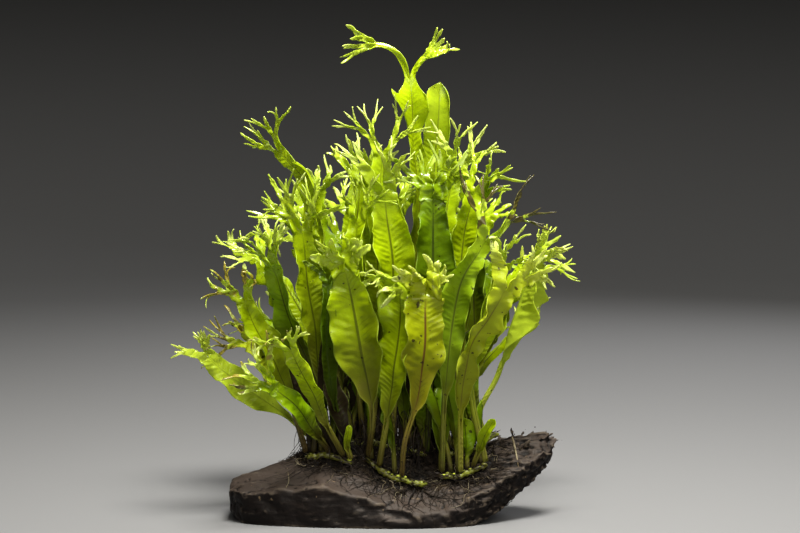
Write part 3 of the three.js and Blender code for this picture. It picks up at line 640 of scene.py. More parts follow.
class LeafShape:
    """The places of a leaf's grid points, row by row."""

    def __init__(self, spec, grid):
        self.spec = spec
        self.columns, self.stalk_rows, self.blade_rows = grid
        self.crested = spec["crest"] > 0
        self.blade_end = self.stalk_rows + self.blade_rows
        self.rows = self.blade_end + (sum(LEVEL_ROWS) if self.crested else 0)
        # A point on a slit has two places, as the right edge of one arm and the left edge of the next.
        self.right_edge = np.zeros((self.rows + 1, self.columns + 1, 3))
        self.left_edge = np.zeros((self.rows + 1, self.columns + 1, 3))
        self.growth = np.zeros((self.rows + 1, self.columns + 1))
        self.reach = np.zeros(self.rows + 1)
        self.rib = np.zeros((self.rows + 1, self.columns + 1))
        self.body = np.ones((self.rows + 1, self.columns + 1))
        self.slits = {}
        self.seed = spec["number"] * 13.7
        self.shape_blade()
        if self.crested:
            self.fork(self.tip, 0, 1, 0, self.columns, self.blade_end, self.tip_width)

    def put(self, row, column, place):
        self.right_edge[row, column] = place
        self.left_edge[row, column] = place

    def lobe(self, side, at, t):
        """How far a margin and its ear stand out from the plain outline, as shares of the half width."""
        phase = NEARLY_A_TURN * chance(self.seed + 20 + side)
        uneven = 0
        for k, (high, length) in enumerate(OUTLINE_WAVES, 1):
            uneven += high * math.sin(at / length + k * phase)
        high, length = TEETH
        teeth = max(0, math.sin(at / length + phase)) ** 2 * smooth(0.55, 0.95, t) * high
        ear_side, middle, reach = EARS.get(self.spec["number"], (0, 0, 0))
        ear = 0
        if side == ear_side:
            ear = reach * math.exp(-(((t - middle) / EAR_FADES[t >= middle]) ** 2))
        return (uneven + teeth) * smooth(0.12, 0.35, t) * (1 - smooth(0.93, 1, t)) + ear, ear

    def shape_blade(self):
        spec = self.spec
        stalk = spec["stalk"]
        shares = [stalk * r / self.stalk_rows for r in range(self.stalk_rows)]
        shares += [stalk + (1 - stalk) * r / self.blade_rows for r in range(self.blade_rows + 1)]
        headings, length = spine_headings(spec, shares)
        twist = BLADE_TWIST * spec.get("twist", between(-1, 1, self.seed + 10))
        for row, (share, now) in enumerate(zip(shares, headings)):
            t = (share - stalk) / (1 - stalk)
            now = now.turned(0, 0, twist * math.sin(math.pi * min(1, max(0, t))))
            self.shape_row(row, share, t, share * length, now)
            self.reach[row] = share * length
            self.growth[row] = t if t >= 0 else share / stalk - 1
        self.tip = headings[-1]
        self.tip_width = blade_width(1, spec)

    def shape_row(self, row, share, t, at, now):
        """One row of the stalk or the blade: t is its share of the blade, and at is how far up it is."""
        spec = self.spec
        seed = self.seed
        phases = [NEARLY_A_TURN * chance(seed + k) for k in range(6)]
        ruffle = between(*RUFFLES, seed + 8) * min(1, spec["width"] / RUFFLED_WIDTH)
        end = 1
        if not self.crested:
            end = math.sqrt(max(0.0004, 1 - smooth(spec.get("blunt", 0.8), 1, t) ** 2))
        half = blade_width(share, spec) / 2 * end
        foot = blade_foot(share, spec)
        furl = lerp(ROLLED_UP, between(*CUPS, seed + 7), foot) * (1 - smooth(0.82, 1, t)) + 0.02
        tube = STALK_WIDTH / 2 * spec.get("girth", between(*GIRTHS, seed + 12)) * furl * end
        flat = half * furl / math.sin(min(furl, 1.4))
        radius = max(tube, lerp(tube, flat, smooth(2.3, 1.2, furl))) / furl
        sink = radius * smooth(1.2, 2.9, furl)
        broad = smooth(0.08, 0.35, t) * (1 - smooth(0.88, 1, t))
        fold = FOLD * chance(seed + 9) ** 1.5 * broad
        lean = between(-LEAN, LEAN, seed + 11) * broad
        full = 0.95 * (1 - 0.5 * smooth(0.6, 1, t))
        lobes = {side: self.lobe(side, at, t) for side in (-1, 1)}
        for column in range(self.columns + 1):
            u = 2 * column / self.columns - 1
            out = abs(u)
            side = -1 if u < 0 else 1
            lobe, ear = lobes[side]
            across = radius * math.sin(furl * u) * (1 + lobe * out + side * lean)
            up = radius * (1 - math.cos(furl * u)) - sink + fold * abs(across)
            if half and t > 0.3:
                over = max(0, across / half - spec.get("hem", 1)) * half
                across -= over * HEM_IN
                up += over * HEM_UP
            wave = math.sin(at / RUFFLE_LENGTH * RUFFLE_PACES[side] + phases[1 if u < 0 else 2])
            wave += SLOW_RUFFLE[0] * math.sin(at / SLOW_RUFFLE[1] + phases[3] + 2 * u)
            up += 0.6 * ruffle * out**2.2 * wave * broad
            up += BLADE_WAVE[0] * math.sin(at / BLADE_WAVE[1] + phases[4]) * broad
            ridge = spec.get("crinkle", CRINKLE) * MM * math.sin((at - 0.5 * out * half) / RIDGE_LENGTH)
            ridge *= 0.1 + math.sin(at / RIDGE_CHANGE + phases[5] + 1.5 * u)
            dent = DENT * rough(across / DENT_SPAN[0], at / DENT_SPAN[1], seed)
            up += (ridge + dent) * broad * smooth(0.06, 0.25, out) * (1 - smooth(0.8, 1, out))
            self.put(row, column, now.point(across, up, 1.6 * ear * half * out**3))
            self.rib[row, column] = out
            midrib = 1 - smooth(0, MIDRIB_REACH, out)
            self.body[row, column] = lerp(0.6, lerp(0.3, full, midrib), foot)

    def fork(self, start, level, arm, first, last, row, width):
        """Shapes the two arms that leave a fork, each with half of the columns, or one that doesn't fork."""
        if level == len(LEVEL_ROWS):
            return
        if chance(self.seed + arm * 2.9) < UNFORKED_SHARES[level]:
            self.shape_arm(start, level, arm * 2, 0, first, last, row, width)
            return
        middle = (first + last) // 2
        self.slits[middle] = row
        for side, low, high in ((-1, first, middle), (1, middle, last)):
            self.shape_arm(start, level, arm * 2 + (side + 1) // 2, side, low, high, row, width)

    def shape_arm(self, start, level, arm, side, low, high, row, width):
        """One arm, from its fork to the next one: it takes the columns from low to high."""
        spec = self.spec
        seed = self.seed
        steps = LEVEL_ROWS[level]
        curly = between(*CURLINESS, seed + 16)
        curl = curly * CURLS[level] * between(-1, 1, spec["number"] * 64 + arm + 0.5)
        share = None
        if level >= FINGER_LEVEL:
            share = spec["arms"][3] * between(*FINGER_SHARES, seed + arm * 4.3) * spec.get("fingers", 1)
        twist = lerp(1, TWISTS[level], curly)
        headings = arm_headings(start, level, side, spec, arm, curl, steps, share, twist)
        end_width = max(LEAST_ARM_WIDTHS[level], self.tip_width * ARM_WIDTH_SHARES[level])
        end_width *= spec.get("fan", 1) if level else 1
        end_width *= spec.get("strap", between(*STRAPS, seed + 15))
        if not side:
            end_width = lerp(end_width, width, 0.4)
        phase = NEARLY_A_TURN * chance(seed + arm * 1.3)
        channel = between(*CHANNELS, seed + arm * 1.7)
        frill = between(*FRILLS, seed + arm * 1.9)
        for k, now in enumerate(headings, 1):
            s = k / steps
            bow = math.sin(math.pi * s)
            half = lerp(width / (4 if side else 2), end_width / 2, 1 - (1 - s) ** 1.3)
            half *= 1 + frill * bow * math.sin(phase + s * 9)
            if level == FINGER_LEVEL:
                half *= 1 - FINGER_TAPER * s**4
            offset = side * width / 4 * (1 - smooth(0, 1, s))
            for column in range(low, high + 1):
                u = (2 * column - low - high) / (high - low)
                up = ARM_WAVES[level] * math.sin(phase + s * 4.2 + u * 1.8) + channel * half * u * u
                place = now.point(offset + u * half, up * bow)
                if column < high or high == self.columns:
                    self.left_edge[row + k, column] = place
                if column > low or low == 0:
                    self.right_edge[row + k, column] = place
                self.rib[row + k, column] = abs(u) * 0.5 + 0.4
                self.body[row + k, column] = ARM_BODIES[level]
            self.growth[row + k, low:high + 1] = 1 + (level + s) / len(LEVEL_ROWS)
            self.reach[row + k] = self.reach[row] + k * MM
        self.fork(headings[-1], level + 1, arm, low, high, row + steps, end_width)


FROND_THICKNESS = 0.75 * MM


def leaf_mesh(spec, name, grid, thickness):
    """One leaf as a closed mesh. Its points know how far up and out they are, its brightness (a random tone
    or painted light) and its wilt.
    """
    shape = LeafShape(spec, grid)
    columns = shape.columns
    sheet = frond_sheet(name, columns, shape.rows, shape.slits)
    row, column, lean = sheet_places(sheet, columns, shape.rows)
    mesh = sheet.data
    # A point whose faces all lie to its left is the right edge of its arm.
    places = np.where((lean < 0)[:, None], shape.right_edge[row, column], shape.left_edge[row, column])
    mesh.vertices.foreach_set("co", places.ravel())
    mark(mesh, "along", (shape.growth[row, column] + 1) / 3)
    mark(mesh, "rib", shape.rib[row, column])
    # The frond's brightness: a random tone, or where its own form gives one, painted light or painted
    # darkening for a frond in shadow or in strong light.
    mark(mesh, "tone_and_painted_light", np.full(len(row), spec.get("tone_and_painted_light", chance(spec["number"] + 0.21))))
    mark(mesh, "wilt", np.full(len(row), spec.get("wilt", 0.0)))
    corners = read(mesh.loops, "vertex_index", int, 1)[:, 0]
    across = (2 * column / columns - 1) * spec["width"] / 2
    uv = np.stack([across[corners] * 100, shape.reach[row][corners] * 100], axis=1)
    mesh.uv_layers[0].data.foreach_set("uv", uv.ravel())
    group = sheet.vertex_groups.new(name="body")
    body = np.round(shape.body[row, column], 2)
    for step in np.unique(body):
        group.add(np.nonzero(body == step)[0].tolist(), float(step), "REPLACE")
    solid = sheet.modifiers.new("thickness", "SOLIDIFY")
    solid.thickness = thickness
    solid.offset = 0
    solid.vertex_group = "body"
    apply_modifiers(sheet)
    shade_smooth(sheet)
    return sheet


def build_frond(spec):
    leaf = leaf_mesh(spec, frond_name(spec) + "_leaf", FROND_GRID, FROND_THICKNESS)
    leaf.data.materials.append(FROND_FINISHES[spec["kind"]])
    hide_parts(frond_name(spec))
    spec["kind"] + "_frond"
    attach(leaf, "root")
    return leaf


# Shader maths: an expression on values adds its Math nodes


class Value:
    def __init__(self, finish, socket):
        self.finish, self.socket = finish, socket

    def math(self, operation, *others):
        values = {i: other for i, other in enumerate(others, 1)}
        return self.finish.node("ShaderNodeMath", {"operation": operation}, {0: self, **values}).value()

    def __add__(self, other):
        return self.math("ADD", other)

    def __sub__(self, other):
        return self.math("SUBTRACT", other)

    def __mul__(self, other):
        return self.math("MULTIPLY", other)

    def __truediv__(self, other):
        return self.math("DIVIDE", other)

    def __rsub__(self, other):
        return self.math("MULTIPLY", -1).math("ADD", other)

    __radd__ = __add__
    __rmul__ = __mul__

    def ramp(self, low, high):
        """0 below low, 1 above high and smooth between them."""
        inputs = {"Value": self, "From Min": low, "From Max": high}
        return self.finish.node("ShaderNodeMapRange", {"interpolation_type": "SMOOTHSTEP"}, inputs).value()

    def clamped(self):
        return self.finish.node("ShaderNodeClamp", {}, {"Value": self}).value()


class Node:
    def __init__(self, finish, node):
        self.finish, self.node = finish, node

    def value(self, output=0):
        return Value(self.finish, self.node.outputs[output])


# Light that comes through a leaf, as shares of the leaf's own colour
LEAF_TINT = (1.08, 1, 0.3)


class Finish:
    """A material whose nodes are all added by one method."""

    def __init__(self, name):
        self.material = bpy.data.materials.new(name)
        self.material.use_nodes = True
        self.tree = self.material.node_tree
        self.tree.nodes.clear()
        self.output = self.tree.nodes.new("ShaderNodeOutputMaterial")

    def node(self, kind, settings, inputs):
        node = self.tree.nodes.new(kind)
        for key, setting in settings.items():
            if key == "stops":
                self.set_stops(node.color_ramp, setting)
            else:
                setattr(node, key, setting)
        for key, entry in inputs.items():
            if isinstance(entry, Value):
                self.tree.links.new(entry.socket, node.inputs[key])
            else:
                node.inputs[key].default_value = entry
        return Node(self, node)

    def set_stops(self, ramp, stops):
        for i, (place, colour) in enumerate(stops):
            stop = ramp.elements[i] if i < 2 else ramp.elements.new(place)
            stop.position = place
            stop.color = (*colour, 1)

    def colours(self, value, stops):
        return self.node("ShaderNodeValToRGB", {"stops": stops}, {"Fac": value}).value("Color")

    def mix(self, factor, a, b):
        settings = {"data_type": "RGBA", "clamp_factor": True}
        a = a if isinstance(a, Value) else (*a, 1)
        b = b if isinstance(b, Value) else (*b, 1)
        return self.node("ShaderNodeMix", settings, {0: factor, 6: a, 7: b}).value(2)

    def noise(self, coords, scale, detail=3.0, roughness=0.5, stretch=None):
        if stretch:
            coords = self.node("ShaderNodeMapping", {}, {"Vector": coords, "Scale": stretch}).value()
        inputs = {"Vector": coords, "Scale": scale, "Detail": detail, "Roughness": roughness}
        return self.node("ShaderNodeTexNoise", {}, inputs).value("Fac")

    def place(self):
        return self.node("ShaderNodeTexCoord", {}, {}).value("Object")

    def bump(self, height, strength, distance):
        inputs = {"Height": height, "Strength": strength, "Distance": distance}
        return self.node("ShaderNodeBump", {}, inputs).value()

    def skin(self, base, roughness, specular, normal, coat=None):
        inputs = {
            "Base Color": base, "Roughness": roughness, "Specular IOR Level": specular, "Normal": normal,
            **(coat or {}),
        }
        return self.node("ShaderNodeBsdfPrincipled", {}, inputs).value()

    def trait(self, name):
        return self.node("ShaderNodeAttribute", {"attribute_name": name}, {}).value("Fac")

    def glow(self, colour, normal):
        """Light that comes through a thin leaf, yellower than the leaf's own colour."""
        tinted = [c * t for c, t in zip(colour, LEAF_TINT)]
        return self.node("ShaderNodeBsdfTranslucent", {}, {"Color": (*tinted, 1), "Normal": normal}).value()

    def blend(self, factor, first, second):
        return self.node("ShaderNodeMixShader", {}, {0: factor, 1: first, 2: second}).value()

    def surface(self, shader):
        self.tree.links.new(shader.socket, self.output.inputs["Surface"])
        return self.material


def frond_finish(name, stops, rib_colour, rib_share, spots, gloss):
    """Thin leaf: light comes through it, the midrib is dark and the side veins are faint."""
    leaf = Finish(name)
    along, rib, tone_and_painted_light, wilt = [leaf.trait(trait) for trait in ("along", "rib", "tone_and_painted_light", "wilt")]
    place = leaf.place()
    mottle = leaf.noise(place, 130, 4)
    fine = leaf.noise(place, 900, 3)
    # The colour runs up the stops, shifted by the frond's brightness, which is a random tone or painted
    # light.
    base = leaf.colours((along + (mottle - 0.5) * 0.32 + (tone_and_painted_light.clamped() - 0.5) * 0.12).clamped(), stops)

    # Side veins slant up from the midrib, and show in patches.
    uv = leaf.node("ShaderNodeUVMap", {"uv_map": "UVMap"}, {}).value()
    xy = leaf.node("ShaderNodeSeparateXYZ", {}, {"Vector": uv})
    across, reach = xy.value(0), xy.value(1)
    veins = ((reach - across.math("ABSOLUTE") * 0.5) * 30 + mottle * 7).math("SINE") * 0.5 + 0.5
    patchy = leaf.noise(place, 75, 2).ramp(0.45, 0.62)
    vein_lines = veins.ramp(0.72, 1) * (1 - rib.ramp(0.3, 0.85)) * (1 - along.ramp(0.6, 0.68)) * patchy
    base = leaf.mix(vein_lines * 0.34, base, (0.05, 0.085, 0.004))
    in_blade = along.ramp(0.2, 0.33) * (1 - along.ramp(0.58, 0.7))
    base = leaf.mix((1 - rib.ramp(0.03, 0.075)) * in_blade * rib_share, base, rib_colour)
    base = leaf.mix(rib.ramp(0.93, 1) * in_blade * 0.3, base, (0.45, 0.6, 0.08))

    # Over 1 the brightness mixes in a paler colour and under 0 a darker one: painted light on fronds in
    # shadow and painted darkening on fronds in strong light.
    base = leaf.mix((tone_and_painted_light - 1).clamped(), base, (0.62, 0.76, 0.06))
    base = leaf.mix((0 - tone_and_painted_light).clamped(), base, (0.03, 0.08, 0.001))
    specks = leaf.noise(place, 420, 2).ramp(0.72 - spots, 0.76 - spots)
    base = leaf.mix(specks * 0.85, base, (0.035, 0.018, 0.008))

    # A wilted crest is yellow-brown with dark patches, or all dark if little of it lives.
    worst = along + (leaf.noise(place, 160, 3) - 0.5) * 1.4 + wilt * 0.45
    dead_colour = leaf.mix(wilt.ramp(0.58, 0.68), (0.36, 0.27, 0.03), (0.07, 0.036, 0.014))
    dead_colour = leaf.mix(mottle.ramp(0.5, 0.6) * 0.8, dead_colour, (0.06, 0.034, 0.014))
    base = leaf.mix(worst.ramp(1.08, 1.16) * wilt.ramp(0.05, 0.3) * 0.9, base, dead_colour)
    aged = wilt.ramp(0.1, 0.4) * (1 - along.ramp(0.2, 0.4)) * mottle.ramp(0.35, 0.6)
    base = leaf.mix(aged * 0.75, base, (0.05, 0.028, 0.012))

    quilt = veins * rib.ramp(0.08, 0.2) * leaf.noise(place, 60, 2).ramp(0.45, 0.65)
    ripple = leaf.bump(quilt + leaf.noise(place, 300, 3) * 1.2 + fine * 0.3, 0.45, 0.0004)
    coat = {"Coat Weight": along.ramp(0.5, 0.8) * 0.85 + 0.05, "Coat Roughness": 0.14}
    shiny = leaf.skin(base, fine * 0.2 + gloss, 0.15, ripple, coat)

    # What shines through is as bright as the base, between black, the blade's colour and the tips' colour.
    body = [colour for place, colour in stops if place >= 0.6][0]
    tips = stops[-1][1]
    green = leaf.node("ShaderNodeSeparateColor", {}, {"Color": base}).value(1)
    glow = leaf.blend((green / body[1]).clamped(), leaf.glow((0, 0, 0), ripple), leaf.glow(body, ripple))
    glow = leaf.blend(((green - body[1]) / (tips[1] - body[1])).clamped(), glow, leaf.glow(tips, ripple))
    share = (0.5 - 0.08 * along.ramp(0.6, 0.8)) * (1 - (1 - along.ramp(0.22, 0.34)) * 0.8)
    return leaf.surface(leaf.blend(share, shiny, glow))


# Colours up a frond: the stalk's foot, the stalk's top, the lower blade, the upper blade, the crest, its
# tips. The lower blade's darker green is partly painted shadow, as less light reaches down into the plant,
# and the pale, bluer tips are partly a painted highlight.
FRESH_STOPS = [
    (0.0, (0.07, 0.052, 0.012)), (0.2, (0.2, 0.19, 0.025)), (0.34, (0.2, 0.235, 0.006)),
    (0.45, (0.28, 0.37, 0.003)), (0.55, (0.40, 0.53, 0.002)), (0.64, (0.42, 0.56, 0.003)),
    (0.8, (0.44, 0.57, 0.02)), (0.9, (0.52, 0.66, 0.05)), (1.0, (0.7, 0.8, 0.24)),
]
DEEP_STOPS = [
    (0.0, (0.04, 0.032, 0.009)), (0.2, (0.1, 0.095, 0.012)), (0.34, (0.1, 0.125, 0.003)),
    (0.45, (0.14, 0.23, 0.002)), (0.55, (0.21, 0.36, 0.001)), (0.64, (0.28, 0.43, 0.002)),
    (0.8, (0.38, 0.51, 0.006)), (0.9, (0.48, 0.62, 0.05)), (1.0, (0.67, 0.77, 0.24)),
]
YELLOW_STOPS = [
    (0.0, (0.1, 0.06, 0.022)), (0.2, (0.2, 0.16, 0.025)), (0.34, (0.2, 0.19, 0.005)),
    (0.5, (0.27, 0.31, 0.003)), (0.64, (0.37, 0.43, 0.004)), (0.8, (0.47, 0.56, 0.01)),
    (0.9, (0.55, 0.65, 0.05)), (1.0, (0.7, 0.79, 0.24)),
]
OLD_STOPS = [
    (0.0, (0.012, 0.008, 0.005)), (0.3, (0.022, 0.014, 0.007)), (0.6, (0.04, 0.028, 0.009)),
    (1.0, (0.08, 0.066, 0.016)),
]
# Each with the midrib's colour and how much of it shows, how spotted the leaf is and how dull
FROND_FINISHES = {
    "fresh": frond_finish("fresh_leaf", FRESH_STOPS, (0.06, 0.07, 0.006), 0.75, 0.01, 0.3),
    "deep": frond_finish("deep_leaf", DEEP_STOPS, (0.035, 0.034, 0.006), 0.8, 0.03, 0.32),
    "yellow": frond_finish("yellow_leaf", YELLOW_STOPS, (0.13, 0.04, 0.012), 0.9, 0.06, 0.34),
    "old": frond_finish("old_stalk", OLD_STOPS, (0.02, 0.012, 0.006), 0.9, 0.08, 0.5),
}

for number, row in enumerate(FRONDS + back_rows(), 1):
    spec = frond_spec(number, *row)
    build_frond(turned_as_solid(spec) if spec["crest"] else spec)


# Young shoots and old leaves stand low among the stalks

YOUNG_THICKNESS = 0.6 * MM
# Rhizome, how many leaves it has, the way that they lean in degrees from +X, and how far that varies
UNDERGROWTH = {
    "rhizome_ridge": (24, 100, 150), "rhizome_back": (30, 100, 170), "rhizome_far": (11, 120, 80),
    "rhizome_left": (7, 150, 60), "rhizome_right": (5, 110, 60), "rhizome_front": (2, 120, 60),
}
OLD_SHARES = {"rhizome_left": 0.7, "rhizome_ridge": 0.3, "rhizome_back": 0.35}
YOUNG_HEIGHTS = (20 * MM, 50 * MM)
YOUNG_WIDTHS = (4 * MM, 9.5 * MM)
YOUNG_LEANS = (0.1, 0.5)
# The points that a young leaf's spine passes, as shares of its lean and of its height
YOUNG_SPINE = [(0.25, 0.45), (0.65, 0.8), (1, 1)]


def young_spec(rhizome, share, way, seed, kind):
    root = root_point(rhizome, share)
    tall = between(*YOUNG_HEIGHTS, seed + 0.1)
    lean = level_way(way) * tall * between(*YOUNG_LEANS, seed + 0.2)
    return dict(
        number=60 + seed, kind=kind, width=between(*YOUNG_WIDTHS, seed + 0.3), stalk=0.28, neck=0.6,
        shoulder=SHOULDER, waist=None, crest=0, face=360 * chance(seed + 0.4), girth=0.7, root=root,
        through=[root + lean * out + UP * tall * up for out, up in YOUNG_SPINE],
    )


def build_undergrowth():
    leaves = {"deep": [], "old": []}
    seed = 0
    for rhizome, (count, way, spread) in UNDERGROWTH.items():
        for k in range(count):
            seed += 1
            share = (k + chance(seed * 3.1)) / count * (0.7 if rhizome == "rhizome_far" else 1)
            turn = math.radians(way + between(-spread, spread, seed * 4.7))
            kind = "old" if chance(seed * 5.3) < OLD_SHARES.get(rhizome, 0) else "deep"
            spec = young_spec(rhizome, share, turn, seed, kind)
            leaves[kind].append(leaf_mesh(spec, "young_leaf", YOUNG_GRID, YOUNG_THICKNESS))
    for kind, pieces in leaves.items():
        low = join(pieces, "low_leaves_" + kind)
        low.data.materials.append(FROND_FINISHES[kind])
        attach(low, "root")


build_undergrowth()


# Driftwood: the solid and its splinters are fused by a fine remesh, then worn and grained, with a mark for
# wear and for painted light on its ridges and in its hollows

WOOD_VOXEL = 0.75 * MM
# Splinters of the broken right end and of the log's upper edge: foot, tip and radius of the foot.
SPLINTERS = [
    ((60, -3, 30), (66, -4, 34.5), 1.5), ((62, 0, 29), (66.5, 2, 33), 1.2),
    ((57, 2, 31), (59, 3, 36.5), 1.3), ((63, -4, 27), (67.5, -6, 29), 1.2),
    ((54, -6, 29), (57, -8, 33.5), 1.3), ((50, 0, 31), (48.5, 1, 35.5), 1.4),
    ((45, 4, 28), (43.5, 5, 33), 1.5), ((42, -4, 28), (40.5, -5, 31.5), 1.4),
    ((58, -7, 26), (63, -10, 28), 1.4), ((-38.5, -4, 21.5), (-37, -4, 27), 2.2),
    ((-34, -1, 23), (-36, -1, 27.5), 1.8), ((-41, -2, 21), (-44, -3, 23.5), 1.6),
    ((52, 4, 30), (55, 6, 34), 1.2), ((64, -2, 31), (69, -1, 31.5), 1.0),
    ((47, -8, 26), (51, -10, 29), 1.3),
]
CONE_TIP_SHARE = 0.12
# Small splinters lie along the grain of the rough half.
SLIVERS = 90
SLIVER_SPAN = ((16, 67), (-17, 12))
SLIVER_REACHES = (3, 8)
SLIVER_RADII = (0.7, 1.3)
LEAST_SLIVER_HEIGHT = 6
# The wood rests on its flat base, which keeps no grain: above it the grain grows over a short rise.
BASE_BAND = 0.4 * MM
GRAIN_RISE = 1.5 * MM
# How much a place's stand above its neighbours, in millimetres, counts as wear and as painted light: the
# finish makes ridges paler, partly as a painted highlight, and hollows near black as painted shadow
WEAR_AND_PAINTED_LIGHT_GAIN = 7


def merged_copy(node, name):
    """A copy of a solid with its loose triangles merged."""
    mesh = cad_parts[node].data.copy()
    mesh.materials.clear()
    piece = named(add_object(name, mesh), name)
    make_active(piece)
    merge_doubles(1e-6)
    return piece


def add_cone(foot, tip, radius, vertices=6):
    foot = Vector(foot) * MM
    tip = Vector(tip) * MM
    radius *= MM
    deselect_all()
    bpy.ops.mesh.primitive_cone_add(
        vertices=vertices, radius1=radius, radius2=radius * CONE_TIP_SHARE, depth=(tip - foot).length,
        location=(foot + tip) / 2, rotation=(tip - foot).to_track_quat("Z", "Y").to_euler(),
    )
    return settled()


def neighbour_means(mesh, values):
    """The mean of each vertex's neighbours' values."""
    a, b = read(mesh.edges, "vertices", int, 2).T
    total = np.zeros_like(values)
    count = np.zeros(len(values))
    for here, there in ((a, b), (b, a)):
        np.add.at(total, here, values[there])
        np.add.at(count, here, 1)
    return total / np.maximum(count, 1).reshape((-1,) + (1,) * (values.ndim - 1))


def relax(mesh, rounds, share=0.6):
    co = read(mesh.vertices, "co")
    for _ in range(rounds):
        co = co + share * (neighbour_means(mesh, co) - co)
    reshape(mesh, co)


def wood_grain(p):
    """How far the wood stands out at a place in millimetres."""
    x, y, z = p
    drift = 3 * rough(x * 0.035, y * 0.05, z * 0.05)
    coarse = rough(x * 0.03 + 7, (y + drift) * 0.2, (z + drift) * 0.26)
    strands = rough(x * 0.07, (y + drift) * 0.75, (z + drift) * 0.85)
    cracks = abs(rough(x * 0.025 + 3, (y + drift) * 0.33, (z + drift) * 0.42))
    pits = rough(x * 0.5, y * 0.5, z * 0.5)
    grained = 0.55 + 0.9 * smooth(10, 45, x) + 0.35 * (1 - smooth(-60, -40, x))
    torn = smooth(8, 30, x)
    rise = 0.5 * coarse + grained * (0.26 + 0.2 * torn) * strands + (0.12 + 0.3 * torn) * pits
    return rise - grained * 0.8 * max(0, 1 - cracks / 0.045)


def slivers():
    """Each small splinter's foot, tip and radius in millimetres."""
    found = []
    (left, right), (near, far) = SLIVER_SPAN
    for k in range(SLIVERS):
        x = lerp(left, right, math.sqrt(chance(k + 0.1)))
        y = between(near, far, k + 0.2)
        z = wood_top(x * MM, y * MM) / MM
        if z < LEAST_SLIVER_HEIGHT:
            continue
        reach = between(*SLIVER_REACHES, k + 0.3)
        rise = between(0.1, 0.45, k + 0.5) * reach
        tip = (x + reach * 0.9, y + between(-1.5, 1.5, k + 0.4), z + rise)
        found.append(((x, y, z - 0.8), tip, between(*SLIVER_RADII, k + 0.6)))
    return found


def build_driftwood():
    cones = [add_cone(*s) for s in SPLINTERS + slivers()]
    log = join([merged_copy("driftwood", "driftwood_log")] + cones, "driftwood_log")
    remesh = log.modifiers.new("remesh", "REMESH")
    remesh.mode = "VOXEL"
    remesh.voxel_size = WOOD_VOXEL
    apply_modifiers(log)
    mesh = log.data
    relax(mesh, 2)
    co = read(mesh.vertices, "co")
    rise = np.array([wood_grain(p) for p in co / MM]) * MM
    grown = np.clip((co[:, 2] - BASE_BAND) / GRAIN_RISE, 0, 1)
    co += read(mesh.vertex_normals, "vector") * (rise * grown)[:, None]
    co[:, 2] = np.maximum(0, np.where(grown == 0, co[:, 2] - BASE_BAND, co[:, 2]))
    reshape(mesh, co)
    stand = -((neighbour_means(mesh, co) - co) * read(mesh.vertex_normals, "vector")).sum(axis=1) / MM
    for _ in range(2):
        stand = 0.4 * stand + 0.6 * neighbour_means(mesh, stand)
    # High on ridges and low in hollows: the finish reads this for wear, for a painted highlight on ridges and
    # for painted shadow in hollows.
    mark(mesh, "wear_and_painted_light", np.clip(0.5 + stand * WEAR_AND_PAINTED_LIGHT_GAIN, 0, 1))
    shade_smooth(log)
    mesh.materials.append(wood_finish())
    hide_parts("driftwood")
    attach(log, "root")
    return log


def wood_finish():
    """Dark wood, with painted light: near black on its sides and in its hollows as painted shadow, paler
    where it looks up as painted light from above, and paler where it is worn, which on its ridges is partly a
    painted highlight.
    """
    wood = Finish("driftwood")
    place = wood.place()
    wear_and_painted_light = wood.trait("wear_and_painted_light")
    normal = wood.node("ShaderNodeNewGeometry", {}, {}).value("Normal")
    up = wood.node("ShaderNodeSeparateXYZ", {}, {"Vector": normal}).value(2)
    strands = wood.noise(place, 1, 5, 0.6, (45, 420, 420))
    patches = wood.noise(place, 55, 4)
    fine = wood.noise(place, 900, 4, 0.6)
    # Painted light: faces that look up are paler and the sides near black, as if lit from above; patches move
    # the edge, and the grain and brown patches show more on the lit top.
    painted_top_light = (up + (patches - 0.5) * 0.5).ramp(0.2, 0.7)
    base = wood.mix(painted_top_light, (0.0042, 0.0026, 0.0021), (0.039, 0.029, 0.0235))
    base = wood.mix(strands.ramp(0.5, 0.75) * (painted_top_light * 0.25 + 0.15), base, (0.05, 0.035, 0.026))
    base = wood.mix(patches.ramp(0.58, 0.72) * (painted_top_light * 0.3 + 0.1), base, (0.034, 0.018, 0.01))
    # Ridges are paler: partly worn wood and partly a painted highlight along the edges.
    base = wood.mix(wear_and_painted_light.ramp(0.7, 1) * strands.ramp(0.35, 0.65) * 0.55, base, (0.12, 0.095, 0.07))
    # Painted shadow: hollows are near black.
    base = wood.mix((1 - wear_and_painted_light.ramp(0.1, 0.42)) * 0.85, base, (0.003, 0.0022, 0.0018))
    flecks = wood.noise(place, 320, 2).ramp(0.71, 0.745)
    base = wood.mix(flecks * 0.45, base, (0.17, 0.12, 0.07))
    ripple = wood.bump(strands * 0.7 + fine * 0.5, 0.5, 0.0006)
    return wood.surface(wood.skin(base, fine * 0.3 + 0.3 + patches * 0.2, 0.12, ripple))


driftwood = build_driftwood()


# Rhizomes: knobbly stems with round green buds on top and dark scales

RHIZOME_AROUND = 14
RHIZOME_ROWS = 84
KNOB_STEP = 2.6 * MM
BULK_STEP = 5 * MM
BUD_STEP = 1.3 * MM
BUD_SIZES = (0.3 * MM, 0.85 * MM)
BUD_FORM = (1.4, 1.1, 0.8)
BUD_SINK = 0.72
BUD_SHARES = {"rhizome_front": 0.35, "rhizome_left": 0.3, "rhizome_right": 0.6, "rhizome_far": 0.5}
SCALES_PER_RHIZOME = 70
SCALE_RADIUS = 0.3
SCALE_SINK = 0.6
SCALE_REACHES = (1.2 * MM, 3 * MM)
SCALE_LIFTS = (0.3 * MM, 1.1 * MM)


